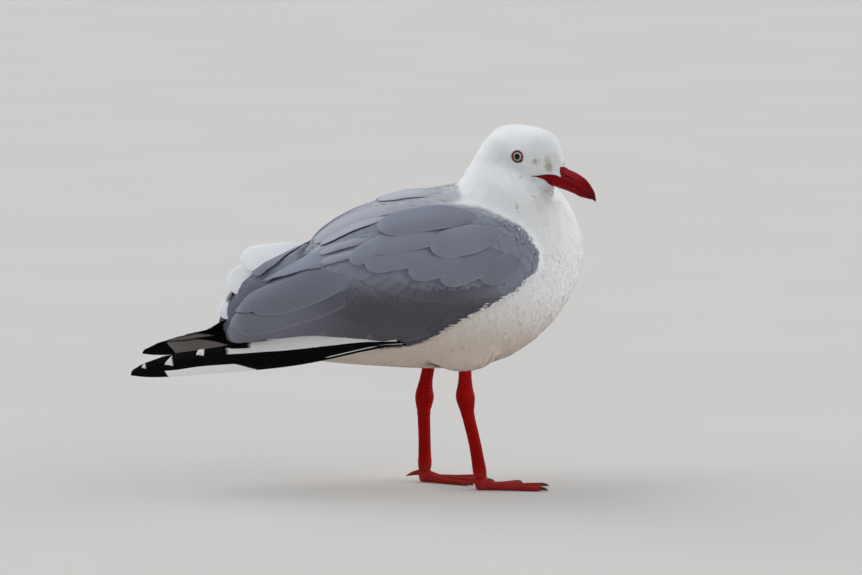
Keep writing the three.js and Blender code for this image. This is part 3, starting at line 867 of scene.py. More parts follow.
def plumage(batch, roots, length, width, barbs, rings, proud, rng, lie=None, form=hull, grey=0.0):
    """Small contour feathers, each a fan of fine barbs that rises from a root on the skin to the outer
    form. proud is how far their ends stand off it."""
    places, normals, uv = roots
    count = len(places)
    lie = lie_at(places, normals) if lie is None else lie
    lie = unit(lie + rng.normal(0, TURNED, (count, 1)) * np.cross(normals, lie))
    size = rng.uniform(*SIZES, count)[:, None]
    length = np.broadcast_to(length, count)[:, None] * size
    width = np.broadcast_to(width, count)[:, None] * size
    tips, out = form.nearest(places + lie * length)
    lift = proud * rng.uniform(0.5, 1, (count, 1))
    tips = tips + out * lift
    above, _ = form.nearest(places)
    depth = np.linalg.norm(above - places, axis=1, keepdims=True)
    middles, middle_out = form.nearest(places + lie * length * 0.5)
    middles = middles - middle_out * SUNK * depth
    bend = 2 * middles - 0.5 * (places + tips)
    across = unit(np.cross(normals + out, tips - places))

    a = np.linspace(-1, 1, barbs) + rng.normal(0, UNEVEN, (count, barbs))
    reach = 1 - 0.3 * a**2 + rng.normal(0, UNEQUAL, (count, barbs))
    steps = np.array(BARB_STEPS[rings])
    q = steps * reach[..., None]
    p0, p1, p2 = places[:, None, None], bend[:, None, None], tips[:, None, None]
    s = q[..., None]
    centre = (1 - s) ** 2 * p0 + 2 * s * (1 - s) * p1 + s**2 * p2
    side = a[..., None] * steps**0.75
    vault = VAULT * side**2 * width[..., None] * 0.5 + rng.normal(0, 0.012, (count, barbs, 1)) * q
    up = unit(blend(normals[:, None, None], out[:, None, None], s)) * np.ones((1, barbs, 1, 1))
    line = centre + across[:, None, None] * (side * width[..., None] / 2)[..., None] + up * vault[..., None]
    # The outer end of every barb lies on the outer form.
    at, facing = form.nearest(line[:, :, -2:])
    sunk = lift[..., None] - depth[..., None] * (1 - q[:, :, -2:]) ** 2
    line[:, :, -2:] = at + facing * sunk[..., None]
    up[:, :, -2:] = facing

    broad = width / (barbs - 1) * BARB_HALF
    points = np.empty((count, barbs, rings * 2 - 1, 3))
    for k, share in enumerate(BARB_SHARES[rings]):
        step = across[:, None] * (broad * share)[..., None]
        points[:, :, 2 * k] = line[:, :, k] - step
        points[:, :, 2 * k + 1] = line[:, :, k] + step
    points[:, :, -1] = line[:, :, -1]
    ring_of = np.r_[np.repeat(np.arange(rings - 1), 2), rings - 1]
    bent = up[:, :, ring_of] + across[:, None, None] * (side[:, :, ring_of] * 0.04)[..., None]
    bent = bent + rng.normal(0, 0.02, (count, barbs, 1, 3)) + lie[:, None, None] * 0.05
    quads = np.array([[2 * k, 2 * k + 2, 2 * k + 3, 2 * k + 1] for k in range(rings - 2)])
    last = 2 * rings - 4
    tip = np.array([[last, last + 2, last + 1]])
    start = (np.arange(count * barbs) * (2 * rings - 1))[:, None, None]
    faces = [(quads + start).reshape(-1, 4), (tip + start).reshape(-1, 3)]

    shape = points.shape[:3]
    spread = side_by_side(q[:, :, ring_of] - 0.5, side[:, :, ring_of] * 0.5)
    maps = {"OFBake": (np.clip(uv, PATCH, 1 - PATCH)[:, None, None] + spread * PATCH * 0.9).reshape(-1, 2)}
    whole = {
        "tone": rng.uniform(-1, 1, (count, 1, 1)),
        "stain": stains_at(places + lie * length * 0.5)[:, None, None],
        "grey": np.broadcast_to(grey, count)[:, None, None],
        "warm_shade": painted_warm_shade(places)[:, None, None],
        "deep": painted_shade_of_grey(places)[:, None, None],
    }
    marks = {key: np.broadcast_to(values, shape).reshape(-1) for key, values in whole.items()}
    marks["reach"] = q[:, :, ring_of].reshape(-1)
    batch.add(points.reshape(-1, 3), faces, bent.reshape(-1, 3), maps, marks)


# The line of the mouth behind the bill and the lower bound of its red corner, in the head: forward, aside
# and up.
MOUTH_LINE = [(16.6, 11.5, -9.2), (21.5, 9.2, -7.9), (27.4, 6.6, -5.6), (34, 5.0, -4.2), (38, 4.2, -4.6)]
CORNER_BELOW = [(20, 9.9, -8.7), (25.5, 6.5, -9.6), (28.3, 3.6, -12.7), (30, 3.2, -14)]


def bill_line(up):
    """How far forward the plumage reaches on the upper mandible."""
    return np.interp(up, (-4, -2.8, 0.7, 3), (36, 36, 33.6, 32.5))


def mouth_height(forward):
    """How high the line of the mouth is."""
    return np.interp(forward, *np.array(MOUTH_LINE)[:, [0, 2]].T)


def from_eye(side, places):
    """How far ahead of an eye places are along its axis, and how they lie from that axis."""
    offset = places - eye_at[side]
    ahead = offset @ look_of[side]
    return ahead, offset - ahead[:, None] * look_of[side]


def clear_of_face(places):
    """Leaves the eyes, the bill's base and the corners of the mouth free of plumage."""
    free = np.ones(len(places), bool)
    for side in SIDES:
        ahead, offset = from_eye(side, places)
        free &= (np.linalg.norm(offset, axis=1) > EYE_CLEAR - 0.35) | (ahead < 0)
    forward, aside, up = to_head(places).T
    below = np.array(CORNER_BELOW)
    floor = np.interp(forward, below[:, 0], below[:, 2])
    under_line = up < mouth_height(forward) + 0.2
    corner = (forward > 20) & under_line & (up > floor) & (np.abs(aside) > 2)
    bill = (forward > 29) & under_line & (up > -16)
    return free & ~corner & ~bill & (forward < bill_line(up))


def short_of_eyes(places, lie, length):
    """The length that keeps plumage from reaching over the eyes' rings."""
    for side in SIDES:
        ahead, offset = from_eye(side, places)
        way = lie - (lie @ look_of[side])[:, None] * look_of[side]
        square, towards = (way * way).sum(1), (offset * way).sum(1)
        inside = towards**2 - square * ((offset * offset).sum(1) - EYE_CLEAR**2)
        meets = (-towards - np.sqrt(np.maximum(inside, 0))) / np.maximum(square, 1e-6)
        crosses = (inside > 0) & (towards < 0) & (ahead > 0)
        length = np.where(crosses, np.clip(meets * 0.97, 0.5, length), length)
    return length


def face_size(places):
    """Smaller round the bill and the eyes, full size on the nape."""
    near_bill = ease(34, 14, to_head(places)[:, 0])
    eyes = [np.linalg.norm(places - eye_at[side], axis=1) for side in SIDES]
    near_eye = ease(5, 14, np.minimum(*eyes))
    return 0.45 + 0.55 * np.minimum(near_bill, 0.3 + 0.7 * near_eye)


def on_bill_base(places):
    """Which places are on the feathered base of the upper mandible."""
    forward, _, up = to_head(places).T
    return (forward > 26) & (forward < bill_line(up) - 0.8) & (up > mouth_height(forward) + 0.3) & (up < 2.0)


def head_coat(finish):
    """The plumage of the head, finer towards the face, with short tufts over the base of the bill."""
    rng = np.random.default_rng(11)
    batch = Batch()
    roots = skin.scatter("head", lambda p: 0.62 + 0.5 * face_size(p), rng, clear_of_face)
    size = face_size(roots[0])
    lie = lie_at(*roots[:2])
    plumage(batch, roots, short_of_eyes(roots[0], lie, 5.2 * size), 3.0 * size, 7, 3, 0.03, rng, lie)
    _, _, places, normals = face.sprinkle(np.ones(len(face.triangles), bool), 0.45, rng, on_bill_base)
    lie = squared(head_forward * 0.9 - head_up * 0.25, normals)
    roots = places - normals * 0.1, normals, skin.uv_at(places)
    plumage(batch, roots, 1.8, 1.3, 5, 3, 0.2, rng, lie, face)
    batch.piece("plumage_head", finish, "white_plumage")


def fineness(places):
    """Finer along the edge between white and grey."""
    return blend(0.5, 1, ease(1, 7, np.abs(inside_grey(places))))


def body_coat(name, node, slot, finish, seed, apart, length, width, barbs):
    """The plumage over one solid of the body, with the strands of the flank on the trunk's."""
    rng = np.random.default_rng(seed)
    batch = Batch()
    roots = skin.scatter(node, lambda p: apart * fineness(p), rng)
    inside, size = inside_grey(roots[0]), fineness(roots[0])
    grey = greyness(roots[0], inside + rng.normal(0, 0.4, len(inside)))
    plumage(batch, roots, length * size, width * size**1.3, barbs, 4, 0.06, rng, grey=grey)
    if node == "trunk":
        fringe(batch, rng)
    batch.piece(name, finish, slot)


def along_wing_edge(places):
    x, y, z = np.abs(places).T
    return (inside_grey(places) > -2.2) & (x > 45) & (y > 25) & (z < 143)


def fringe(batch, rng):
    """Fine white strands of the flank that lie back over the lower front edge of the wings."""
    places, _, uv = skin.scatter("trunk", 0.55, rng, along_wing_edge)
    at, out = hull.nearest(places)
    lie = squared(np.array((-1, 0, -0.1)) + rng.normal(0, 0.07, at.shape), out)
    length = 4.5 + 10 * rng.random(len(at)) ** 2
    plumage(batch, (at - 0.3 * out, out, uv), length, 0.3, 2, 4, 0.3, rng, lie)


# ---- large feathers -----------------------------------------------------------------------------------
def outline(t, narrow=0.55, blunt=0.78):
    """Half width along a feather as a share of the widest: narrower at the root, round at the tip."""
    end = np.clip((t - blunt) / (1 - blunt), 0, 1)
    return blend(narrow, 1, ease(0, 0.5, t)) * np.sqrt(1 - 0.994 * end**2)


def closed_feathers(batch, top, out, thick, maps, marks, relief=0.8):
    """Adds feathers from their top sheets, (count, rings, columns, 3), each closed by a sheet beneath.
    relief is how much of their own shape shows in their shading."""
    count, rings, columns = top.shape[:3]
    turned = slice(columns - 2, 0, -1)
    widening, lengthening = np.gradient(top, axis=2), np.gradient(top, axis=1)
    facing = np.cross(widening, lengthening)
    inside_out = (facing * out).sum((1, 2, 3)) < 0
    facing = unit(facing) * np.where(inside_out, -1, 1)[:, None, None, None]
    under = top - out * np.broadcast_to(thick, top.shape[:3])[..., None]
    v = np.linspace(-1, 1, columns)[:, None]
    aside = unit(widening) * v
    out = unit(relief * facing + (1 - relief) * out)
    beneath = unit(aside * np.abs(v) - out * (1 - 0.9 * v**2))
    out = unit(out + aside * 0.3 * v**8)
    points = np.concatenate([top, under[:, :, turned]], axis=2)
    normals = np.concatenate([out, beneath[:, :, turned]], axis=2)
    around = 2 * columns - 2
    start = np.arange(count) * rings * around
    faces = []
    for shape in tube(rings, around):
        for chosen, way in ((start[~inside_out], 1), (start[inside_out], -1)):
            faces.append((shape[:, ::way] + chosen[:, None, None]).reshape(-1, shape.shape[1]))

    def both_sheets(values):
        values = np.asarray(values, float)
        values = np.broadcast_to(values, top.shape[:3] + values.shape[3:])
        return np.concatenate([values, values[:, :, turned]], axis=2).reshape(-1, *values.shape[3:])

    maps = {key: both_sheets(values) for key, values in maps.items()}
    marks = {key: both_sheets(values) for key, values in marks.items()}
    batch.add(points.reshape(-1, 3), faces, normals.reshape(-1, 3), maps, marks)


def rings_along(rings):
    """Where the rings of a feather are along it, closer towards its tip."""
    return (1 - (1 - np.linspace(0, 1, rings)) ** 1.6)[None, :, None]


def strip(number, count, t, u):
    """Places on the OFBake map when each of count feathers has a strip of it: t along, u across."""
    return side_by_side(0.02 + 0.96 * t, (number + 0.5) / count + u * 0.42 / count)


def marked_feathers(batch, top, out, thick, t, u, half, length, rng, relief, marks):
    """Closed feathers with the maps and marks that the finish of the vanes looks for."""
    count = len(top)
    maps = {
        "OFBake": strip(np.arange(count)[:, None, None], count, t, u),
        "Vane": side_by_side(length * t / 100, u * half / 100),
    }
    marks = {"across": u, "reach": t, "tone": rng.uniform(-1, 1, (count, 1, 1)), **marks}
    closed_feathers(batch, top, out, thick, maps, marks, relief)


def vanes(batch, roots, tips, width, lift, rng, rings, columns, thick, camber, tilt, deep=None, pale=0.0,
          roundness=0.9, narrow=0.55, shaft=0.0, risen=1.0, rim=1.0, relief=0.8):
    """Feathers laid over the outer form from root to tip. lift is how high the root and the tip lie, risen
    is where along it the tip's height is reached, and tilt is how far the lower edge lies over the next."""
    count = len(roots)
    t = rings_along(rings)
    u = np.linspace(-1, 1, columns)
    if shaft:
        u = np.sort(np.r_[u, -0.1, 0.1])
    width = np.broadcast_to(width, count).astype(float)[:, None, None]
    low, high = np.broadcast_to(lift, (count, 2)).T[..., None, None]
    line, up = hull.nearest(roots[:, None] + (tips - roots)[:, None] * t)
    across = unit(np.cross(up, unit(tips - roots)[:, None]))[:, :, None]
    length = np.linalg.norm(tips - roots, axis=1)[:, None, None]
    half = outline(t, narrow, 1 - roundness * width / length) * width / 2
    at, out = hull.nearest(line[:, :, None] + across * (u * half)[..., None])
    plump = np.sqrt(1 - np.clip((t - 0.55) / 0.45, 0, 1) ** 2)
    share = t if risen == 1 else ease(0, risen, t)
    rise = blend(low, high, share) + camber * (1 - np.abs(u) ** 2.2) * plump
    downward = -np.sign(across[..., 0, 2].mean(1))[:, None, None]
    rise = rise + tilt * u * downward * ease(0, 0.3, t)
    rise = rise + shaft * np.exp(-((u / 0.07) ** 2)) * (1 - 0.6 * t)
    top = at + out * rise[..., None]
    out = unit(out + across * (u * 0.22)[:, None])
    marks = {
        "deep": painted_shade_of_grey(line.reshape(-1, 3)).reshape(count, -1, 1) if deep is None else deep,
        "pale": np.broadcast_to(pale, count)[:, None, None],
        "rim": rim,
    }
    marked_feathers(batch, top, out, thick * (1 - 0.5 * u**2), t, u, half, length, rng, relief, marks)


# Shoulder feathers of the right side: root, tip, width and how high the tip lies.
SCAPULARS = [
    ((45, -24, 187), (-28, -8, 161.5), 15, 0.7),
    ((31, -36, 181), (-24, -16, 158), 13, 0.9),
    ((62, -13, 193), (13, -4, 188), 17, 0.5),
    ((12, -44, 165), (-27.7, -32, 155.7), 7.5, 1.0),
    ((12, -48, 160), (-28, -39, 150.6), 6, 0.7),
    ((28, -46, 169), (-10, -47.5, 152), 13, 1.6),
    ((60, -54, 160), (-1, -51, 150), 14, 1.9),
    ((66, -50, 171), (4, -49, 160), 15, 2.4),
    ((82, -43, 181), (9, -42, 171), 22, 3.0),
    ((103, -52, 155), (72, -56, 141), 17, 1.5),
    ((96, -55, 160), (46, -57.4, 141), 18, 1.8),
    ((82, -56, 157), (26, -56.5, 145.5), 15, 2.1),
    ((92, -50, 170), (40, -55, 161), 19, 2.6),
]
# Long inner wing feathers of the right side, lowest layer first, in the same terms.
TERTIALS = [
    ((65, -52, 115), (0, -48, 101), 17, 0.45),
    ((45, -55, 115), (-30, -42, 102), 17, 0.7),
    ((25, -54, 120), (-60, -36, 102), 18, 0.95),
    ((10, -52, 130), (-86, -29, 103), 21, 1.3),
    ((8, -50, 140), (-84, -28, 110), 24, 1.7),
    ((5, -47, 150), (-78, -24, 117), 24, 2.1),
    ((0, -40, 158), (-63, -15, 135), 22, 2.5),
]
# For each kind: its feathers, how high their roots lie and their shape. deep and pale are how dark and how
# pale each of the scapulars is painted for the light that falls on it: painted shade and painted highlight.
LAID = {
    "tertials_folded_": (TERTIALS, -0.9, {"camber": 0.25, "shaft": 0.12, "tilt": 0.3}),
    "scapulars_": (SCAPULARS, -2.0, {
        "roundness": 0.75, "narrow": 0.5, "camber": 1.2, "tilt": 0.35, "risen": 0.55,
        "deep": np.array([0, 0, 0, 0, 0, 0.1, 0.15, 0.15, 0.2, 0.4, 0.35, 0.3, 0.2])[:, None, None],
        "pale": (0.26, 0.24, 0.36, 0.12, 0.1, 0, 0, 0, 0, 0, 0, 0, 0),
    }),
}
GREATER_COVERTS = ((97, 140), (15, 152), 12)  # first root and last root as x and z, and how many
COVERTS_SAG, COVERTS_REACH = 9, (-26, 0, -8)  # how far the line of roots sags, and from root to tip


def greater_coverts(side, finish, rng):
    """The row of feathers over the front of the folded wing, its roots along a sagging line."""
    (x0, z0), (x1, z1), count = GREATER_COVERTS
    share = np.linspace(0, 1, count)
    x, z = blend(x0, x1, share), blend(z0, z1, share) - COVERTS_SAG * np.sin(np.pi * share)
    roots = np.array([hull.seen_from(side, *at) for at in zip(x, z, strict=True)])
    tips = roots + np.array(COVERTS_REACH)
    batch = Batch()
    vanes(batch, roots, tips, 10.5, (-0.6, 0.3), rng, rings=16, columns=7, thick=0.28, camber=0.12, tilt=0.2,
          rim=0.3, relief=0.5)
    batch.piece("greater_coverts_" + side, finish, "grey_feathers")


def grey_coat(finish):
    """The large feathers of the shoulders and wings."""
    rng = np.random.default_rng(23)
    for side in SIDES:
        greater_coverts(side, finish, rng)
        flip = np.array((1, -SIDES[side], 1))
        for kind, (feathers, root_lift, shape) in LAID.items():
            roots, tips, width, tip_lift = (np.array(part, float) for part in zip(*feathers, strict=True))
            roots, tips, lift = roots * flip, tips * flip, side_by_side(root_lift, tip_lift)
            batch = Batch()
            vanes(batch, roots, tips, width, lift, rng, rings=44, columns=11, thick=0.32, **shape)
            batch.piece(kind + side, finish, "grey_feathers")


# ---- wing tips ----------------------------------------------------------------------------------------
# The folded hand lies on a leaning sheet: x, y, z of its middle, its lean in degrees and half its width.
HANDS = {
    "right": [
        (-150, -14.8, 77.3, 30, 1.5), (-141, -16.5, 79.9, 30, 4.7), (-123, -20, 83.5, 30, 8),
        (-101, -24, 85.8, 30, 8.8), (-69, -30, 90.3, 25, 9.8), (-31, -38, 96, 20, 10),
        (7, -44, 99.8, 15, 6.3), (28.6, -47, 99.8, 10, 2.3),
    ],
    "left": [
        (-140, 11.7, 88.2, 30, 1.5), (-129, 14, 90.3, 30, 4.7), (-112.4, 17.5, 92.5, 30, 7.5),
        (-92.4, 22, 94.8, 30, 8.8), (-67, 29, 96.5, 25, 9.8), (-31, 38, 98, 20, 10),
        (7, 44, 99.8, 15, 6.3), (28.6, 47, 99.8, 10, 2.3),
    ],
}
LEFT_SHORTER = 9.8  # how much less far back the left tip reaches
LEFT_MIRROR = (19, 50)  # on the first three of the left side, from the wing's tip
WEBS = 11.8  # how wide a primary is
LAYER = 0.35  # how much higher each primary lies than the one outside it
NO_MIRROR, NO_PEARL, NO_WEB = (300, 300), -5, 900
# Each primary's lower edge as x and z, up to its tip. Then where its white is, as distances from the tip:
# mirror from and to, pearl, white outer web from. Then how wide that web is, how grey the white is, and how
# much higher the left one's inner web stands.
PRIMARIES = [
    ([(26, 97.6), (19, 97.4), (-0.5, 93.9), (-23, 88.9), (-42, 85.2), (-67, 81.9), (-86, 80.2), (-105, 78.6),
      (-124, 77), (-140, 76.6), (-148.4, 77.3)], (20, 64), NO_PEARL, NO_WEB, 2.7, 0.0, 0),
    ([(24, 98.4), (10, 97.4), (-3.7, 94.6), (-27, 89.3), (-42, 86.9), (-67, 85.4), (-86, 84), (-105, 82.4),
      (-122, 80.1), (-134, 79.7), (-141.5, 81)], NO_MIRROR, 2.4, 117, 0.5, 0.0, 0),
    ([(22, 99), (5, 97.6), (-42, 91.2), (-67, 89.5), (-89, 87.6), (-105, 85.9), (-120, 82.9), (-127, 82.8)],
     NO_MIRROR, 5.0, NO_WEB, 2.7, 0.1, 0),
    ([(20, 100), (0, 99), (-22.6, 96.5), (-41.5, 94.1), (-61.6, 92.1), (-88, 90.2), (-103, 88.9),
      (-106.9, 89)], NO_MIRROR, 5.2, 20, 4.8, 0.0, 5),
    ([(10, 101.5), (-5, 101), (-41, 97.6), (-61, 95.2), (-80, 93.9), (-90, 93.9)],
     NO_MIRROR, NO_PEARL, 17, 4.6, 0.1, 10),
    ([(0, 103), (-16, 102.4), (-41, 101), (-67, 99), (-80, 98), (-84, 98)],
     NO_MIRROR, NO_PEARL, 22, 2.7, 0.2, 15),
]


def hand_at(side, x):
    stations = np.array(HANDS[side])
    return [np.interp(x, stations[:, 0], stations[:, k]) for k in (1, 2, 3, 4)]


def wing_tip(side, finish):
    """The folded primaries of one wing, the outermost lowest."""
    rng = np.random.default_rng(31 if side == "right" else 32)
    out_way = SIDES[side]
    t = np.linspace(0, 1, 84) ** 1.25
    u = np.array((-1, -0.75, -0.56, -0.5, -0.44, -0.1, 0.3, 0.7, 1.0))
    batch = Batch()
    for number, (edge, (start, end), pearl, web_from, web_wide, pale, stands) in enumerate(PRIMARIES):
        edge = np.array(edge[::-1], float)
        x = edge[0, 0] + (edge[-1, 0] - edge[0, 0]) * t
        z = smooth_through(edge[:, 0], edge[:, 1], x)
        _, middle, lean, _ = hand_at("right", x)
        low = (z - middle) / np.cos(np.radians(lean))
        if side == "left":
            x = x + LEFT_SHORTER * ease(20, -130, x)
        if number == 0:
            hand_tip = x[0]
        y, middle, lean, half = hand_at(side, x)
        from_tip = x - x[0]
        taper = ease(28, -10, x)
        rounded = np.sqrt(1 - (1 - np.minimum(from_tip / 20, 1)) ** 2)
        web = WEBS * rounded * blend(0.1, 1, taper)
        high = np.maximum(np.minimum(low + web, half + 0.6), low + 0.4)
        low = low + 1.2 * np.sqrt(np.maximum(0, 1 - from_tip / 5)) * (number > 0)
        if side == "left":
            high = high + stands * ease(-116, -78, x) * ease(0, 12, from_tip)
            # all of the left wing's white is greyed as painted shade, for its shaded underside
            web_from, pale = NO_WEB, 1.0
            if number < 3:
                start, end = np.array(LEFT_MIRROR) - (x[0] - hand_tip)
        d = blend(low[:, None], high[:, None], (u + 1) / 2)
        shaft = 0.22 * np.exp(-(((u + 0.5) / 0.05) ** 2)) * np.minimum(from_tip / 30, 1)[:, None]
        rise = 0.1 + LAYER * number + 0.5 * (1 - u**2) + shaft - 0.5 * (u > 0) * u**2
        rise = rise - 1.5 * (1 - taper[:, None])
        sin, cos = np.sin(np.radians(lean))[:, None], np.cos(np.radians(lean))[:, None]
        top = side_by_side(
            x[:, None],
            y[:, None] - out_way * d * sin + out_way * rise * cos,
            middle[:, None] + d * cos + rise * sin,
        )
        up, over = side_by_side(0.0, out_way * cos, sin), side_by_side(0.0, -out_way * sin, cos)
        out = unit(up + over * (u * 0.25)[None, :, None])
        maps = {
            "OFBake": strip(number, len(PRIMARIES), t[:, None], u)[None],
            "Vane": side_by_side(-from_tip[:, None] / 100, (d - d[:, 3:4]) / 100)[None],
        }
        marks = {
            "along": from_tip[:, None], "across": u, "inward": d - d[:, :1], "tone": rng.uniform(-1, 1),
            "mirror_from": start, "mirror_to": end, "pearl": pearl, "pale": pale,
            "web_from": web_from, "web_wide": web_wide,
        }
        closed_feathers(batch, top[None], out[None], 0.25 * (1 - 0.6 * u**2), maps, marks)
    batch.piece("primaries_" + side + "_vanes", finish, "flight_feathers", ("primaries_" + side,))


# ---- tail and the raised tertials ---------------------------------------------------------------------
def flat_feathers(batch, feathers, rng, relief=0.8, lean=(0, 0, 0), **marks):
    """Feathers that stand free: root, tip, outward way, width, height of the middle over the straight line.
    lean is how their shading turns to the light that comes through them."""
    roots, tips, ways, width, arch = (np.array(part, float) for part in zip(*feathers, strict=True))
    t, u = rings_along(26), np.linspace(-1, 1, 9)
    along = unit(tips - roots)
    ways = squared(ways, along)
    across = np.cross(ways, along)[:, None, None]
    half = outline(t) * width[:, None, None] / 2
    line = roots[:, None] + (tips - roots)[:, None] * t
    line = line + ways[:, None] * (arch[:, None, None] * np.sin(np.pi * t))
    shaft = 0.18 * np.exp(-((u / 0.1) ** 2)) * (1 - 0.7 * t)
    top = line[:, :, None] + across * (u * half)[..., None]
    top = top + ways[:, None, None] * (0.5 * (1 - u**2) + shaft)[..., None]
    out = unit((ways + np.array(lean))[:, None, None] + across * (u * 0.22)[:, None])
    length = np.linalg.norm(tips - roots, axis=1)[:, None, None]
    marks["rim"] = 1.0
    marked_feathers(batch, top, out, 0.25 * (1 - 0.6 * u**2), t, u, half, length, rng, relief, marks)


def tail(finish):
    """Twelve white tail feathers, folded, the middle pair on top."""
    rng = np.random.default_rng(41)
    low, high = (np.array(corner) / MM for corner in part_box("tail"))
    feathers = []
    for pair in range(6):
        for side in SIDES.values():
            root = (high[0] + 3, side * (1 + 1.1 * pair), high[2] - 3.2 - 0.5 * pair)
            height = low[2] + 3.2 - 0.42 * pair - 0.1 * (side > 0)
            tip = (low[0] + 0.5 + 0.7 * pair, side * (3 + 1.7 * pair), height)
            feathers.append((root, tip, (0, side * 0.12 * pair / 5, 1), 12.5, 0.6))
    batch = Batch()
    flat_feathers(batch, feathers[::-1], rng, deep=0.0, pale=0.97)
    batch.piece("tail_vanes", finish, "white_feathers", ("tail",))


# Raised inner feathers of the left wing, painted nearly white for the light that shines through them: root,
# tip, outward way, width, arch.
RAISED = [
    ((-20, 18.5, 152), (-73.5, 20.5, 147), (-0.15, -1, 0.5), 19, 0.8),
    ((-30, 19, 146), (-82, 21, 131), (-0.15, -1, 0.5), 22, 0.8),
    ((-40, 21, 135), (-88, 20, 112), (-0.15, -1, 0.4), 15, 0.6),
]


def raised_tertials(finish):
    rng = np.random.default_rng(43)
    batch = Batch()
    # pale=1.0 paints them white for the light that shines through them
    flat_feathers(batch, RAISED, rng, relief=0.35, lean=(-0.7, 0.1, 1.0), deep=0.0, pale=1.0)
    batch.piece("tertials_raised", finish, "grey_feathers", ("tertials_left",))


# ---- bill ---------------------------------------------------------------------------------------------
# How far forward in the head, the height of the mouth line, the mandible's own height and half its width.
UPPER_BILL = [
    (22, -6, 5, 6), (32, -5.8, 7.2, 5), (38, -5.8, 6.7, 4.5), (45, -5.9, 6.6, 4.1), (50, -6.2, 6.3, 3.7),
    (55, -6.8, 5.7, 3.2), (60.5, -8.3, 4.2, 2.5), (64.6, -10.3, 2.9, 1.6), (66.8, -11.6, 0.8, 0.5),
]
LOWER_BILL = [
    (24, -7.4, 4.5, 6.5), (33, -6.8, 6.1, 4.7), (39, -6.7, 5.9, 4.2), (44, -6.8, 5.7, 3.8),
    (49, -7, 5.6, 3.4), (53.5, -7.6, 5.4, 2.9), (58, -8.8, 3.7, 2.2), (61.3, -10.3, 1.8, 1.4),
    (63, -11.4, 0.5, 0.5),
]
NOSTRIL = ((41.5, -2.6), (48, -3.6))  # the slit's ends: how far forward and how high


def mandible(name, stations, way, node, finish):
    """One half of the bill. way is 1 for the upper and -1 for the lower."""
    stations = np.array(stations)
    rings, arc, inside = 120, 49, 9
    ahead = blend(stations[0, 0], stations[-1, 0], 1 - (1 - np.linspace(0, 1, rings)) ** 1.25)
    mouth, rise, half = smooth_through(stations[:, 0], stations[:, 1:], ahead).T[..., None]
    turn = np.linspace(0, math.pi, arc)
    side = np.sign(np.cos(turn)) * np.abs(np.cos(turn)) ** 0.9 * half
    lip = 0.45 * np.abs(np.cos(turn)) ** 6
    up = way * (np.sin(turn) ** 0.88 * rise - lip)
    inner = np.linspace(-1, 1, inside + 2)[1:-1]
    side = np.concatenate([side, inner * half * 0.97], axis=1)
    up = np.concatenate([up, way * 0.25 * (1 - inner**2) * np.ones_like(half)], axis=1)
    up = up + mouth
    ahead = np.broadcast_to(ahead[:, None], side.shape)
    (f0, u0), (f1, u1) = NOSTRIL
    share = np.clip((ahead - f0) / (f1 - f0), 0, 1)
    off = np.hypot((ahead - blend(f0, f1, share)) * 0.8, (up - blend(u0, u1, share)) * 1.6)
    slit = (1 - ease(0.25, 0.85, off)) * (way > 0)
    slit[:, arc:] = 0
    side = side - np.sign(side) * 0.9 * slit
    covered = ease(0.4, -1.6, ahead - bill_line(up)) * (way > 0) * (up > mouth + 0.8)
    side, up = side * (1 - 0.14 * covered), up - 0.6 * covered
    points = in_head(side_by_side(ahead, side, up).reshape(-1, 3))
    around = arc + inside
    quads, caps = tube(rings, around)
    faces = [quads[:, ::-1], caps] if way > 0 else [quads, caps[:, ::-1]]
    across, lengthways = (np.arange(around) + 0.5) / around * 0.96 + 0.02, np.linspace(0.02, 0.98, rings)
    bake = side_by_side(across, lengthways[:, None])
    high = np.broadcast_to(np.r_[np.sin(turn), np.zeros(inside)], side.shape)
    marks = {"ahead": ahead.ravel(), "slit": slit.ravel(), "high": high.ravel()}
    mesh = mesh_of(name, points, faces, {"OFBake": bake.reshape(-1, 2)}, marks)
    piece(name, mesh, finish, (node,))


def strand(batch, path, reach, sides, marks=()):
    """A closed round strand along a path, with its half width at each point."""
    way = unit(np.gradient(path, axis=0))
    first = unit(np.cross(way, np.array((0.12, 0.2, 1.0))))
    out = spokes(turns(sides), first[:, None], np.cross(way, first)[:, None])
    points = (path[:, None] + out * reach[:, None, None]).reshape(-1, 3)
    rings = len(path)
    bake = side_by_side((np.arange(sides) + 0.5) / sides, np.linspace(0.02, 0.98, rings)[:, None])
    marks = {key: np.repeat(np.broadcast_to(value, rings), sides) for key, value in dict(marks).items()}
    batch.add(points, tube(rings, sides), unit(out).reshape(-1, 3), {"OFBake": bake.reshape(-1, 2)}, marks)


def mouth_corners(finish):
    """The soft red corner of the mouth behind the bill, with its dark line of painted shade along the gape
    that runs back under each eye.
    """
    batch = Batch()
    for side in SIDES.values():
        flip = np.array((1, side, 1))
        t = np.linspace(0, 1, 30)
        line = curve(in_head(np.array(MOUTH_LINE) * flip), 0.22 + 0.78 * t)
        below = curve(in_head(np.array(CORNER_BELOW) * flip), t)
        columns = 12
        at, out = face.nearest(blend(line[:, None], below[:, None], np.linspace(0, 1, columns)[:, None]))
        rise = 0.3 * np.sin(np.linspace(0.2, 1, columns) * math.pi * 0.9) + 0.1
        bake = side_by_side(0.02 + 0.45 * t[:, None], 0.25 + side * 0.23 + np.linspace(0, 0.2, columns))
        # high is low at the mouth line, where the finish paints shade
        marks = {"ahead": 40.0, "slit": 0.0, "high": np.linspace(0.05, 0.5, columns)}
        top = at + out * rise[:, None]
        closed_feathers(batch, top[None], out[None], 0.5, {"OFBake": bake[None]}, marks)
        t = np.linspace(0, 1, 40)
        at, out = face.nearest(curve(in_head(np.array(MOUTH_LINE[:4]) * flip), t))
        grown = np.sin(np.linspace(0.3, math.pi - 0.4, len(t))) ** 0.6
        # slit darkens the strand as painted shade in the gape
        marks = {"ahead": 40, "slit": blend(0.95, 0.4, ease(0.3, 0.6, t)), "high": 0.1}
        strand(batch, at + out * 0.15, 0.34 * grown, 8, marks)
    batch.piece("mouth_corners", finish, "bill_horn")


# ---- eyes ---------------------------------------------------------------------------------------------
EYE_RADIUS, RING_INNER, RING_OUTER = 5.35, 2.95, 4.1


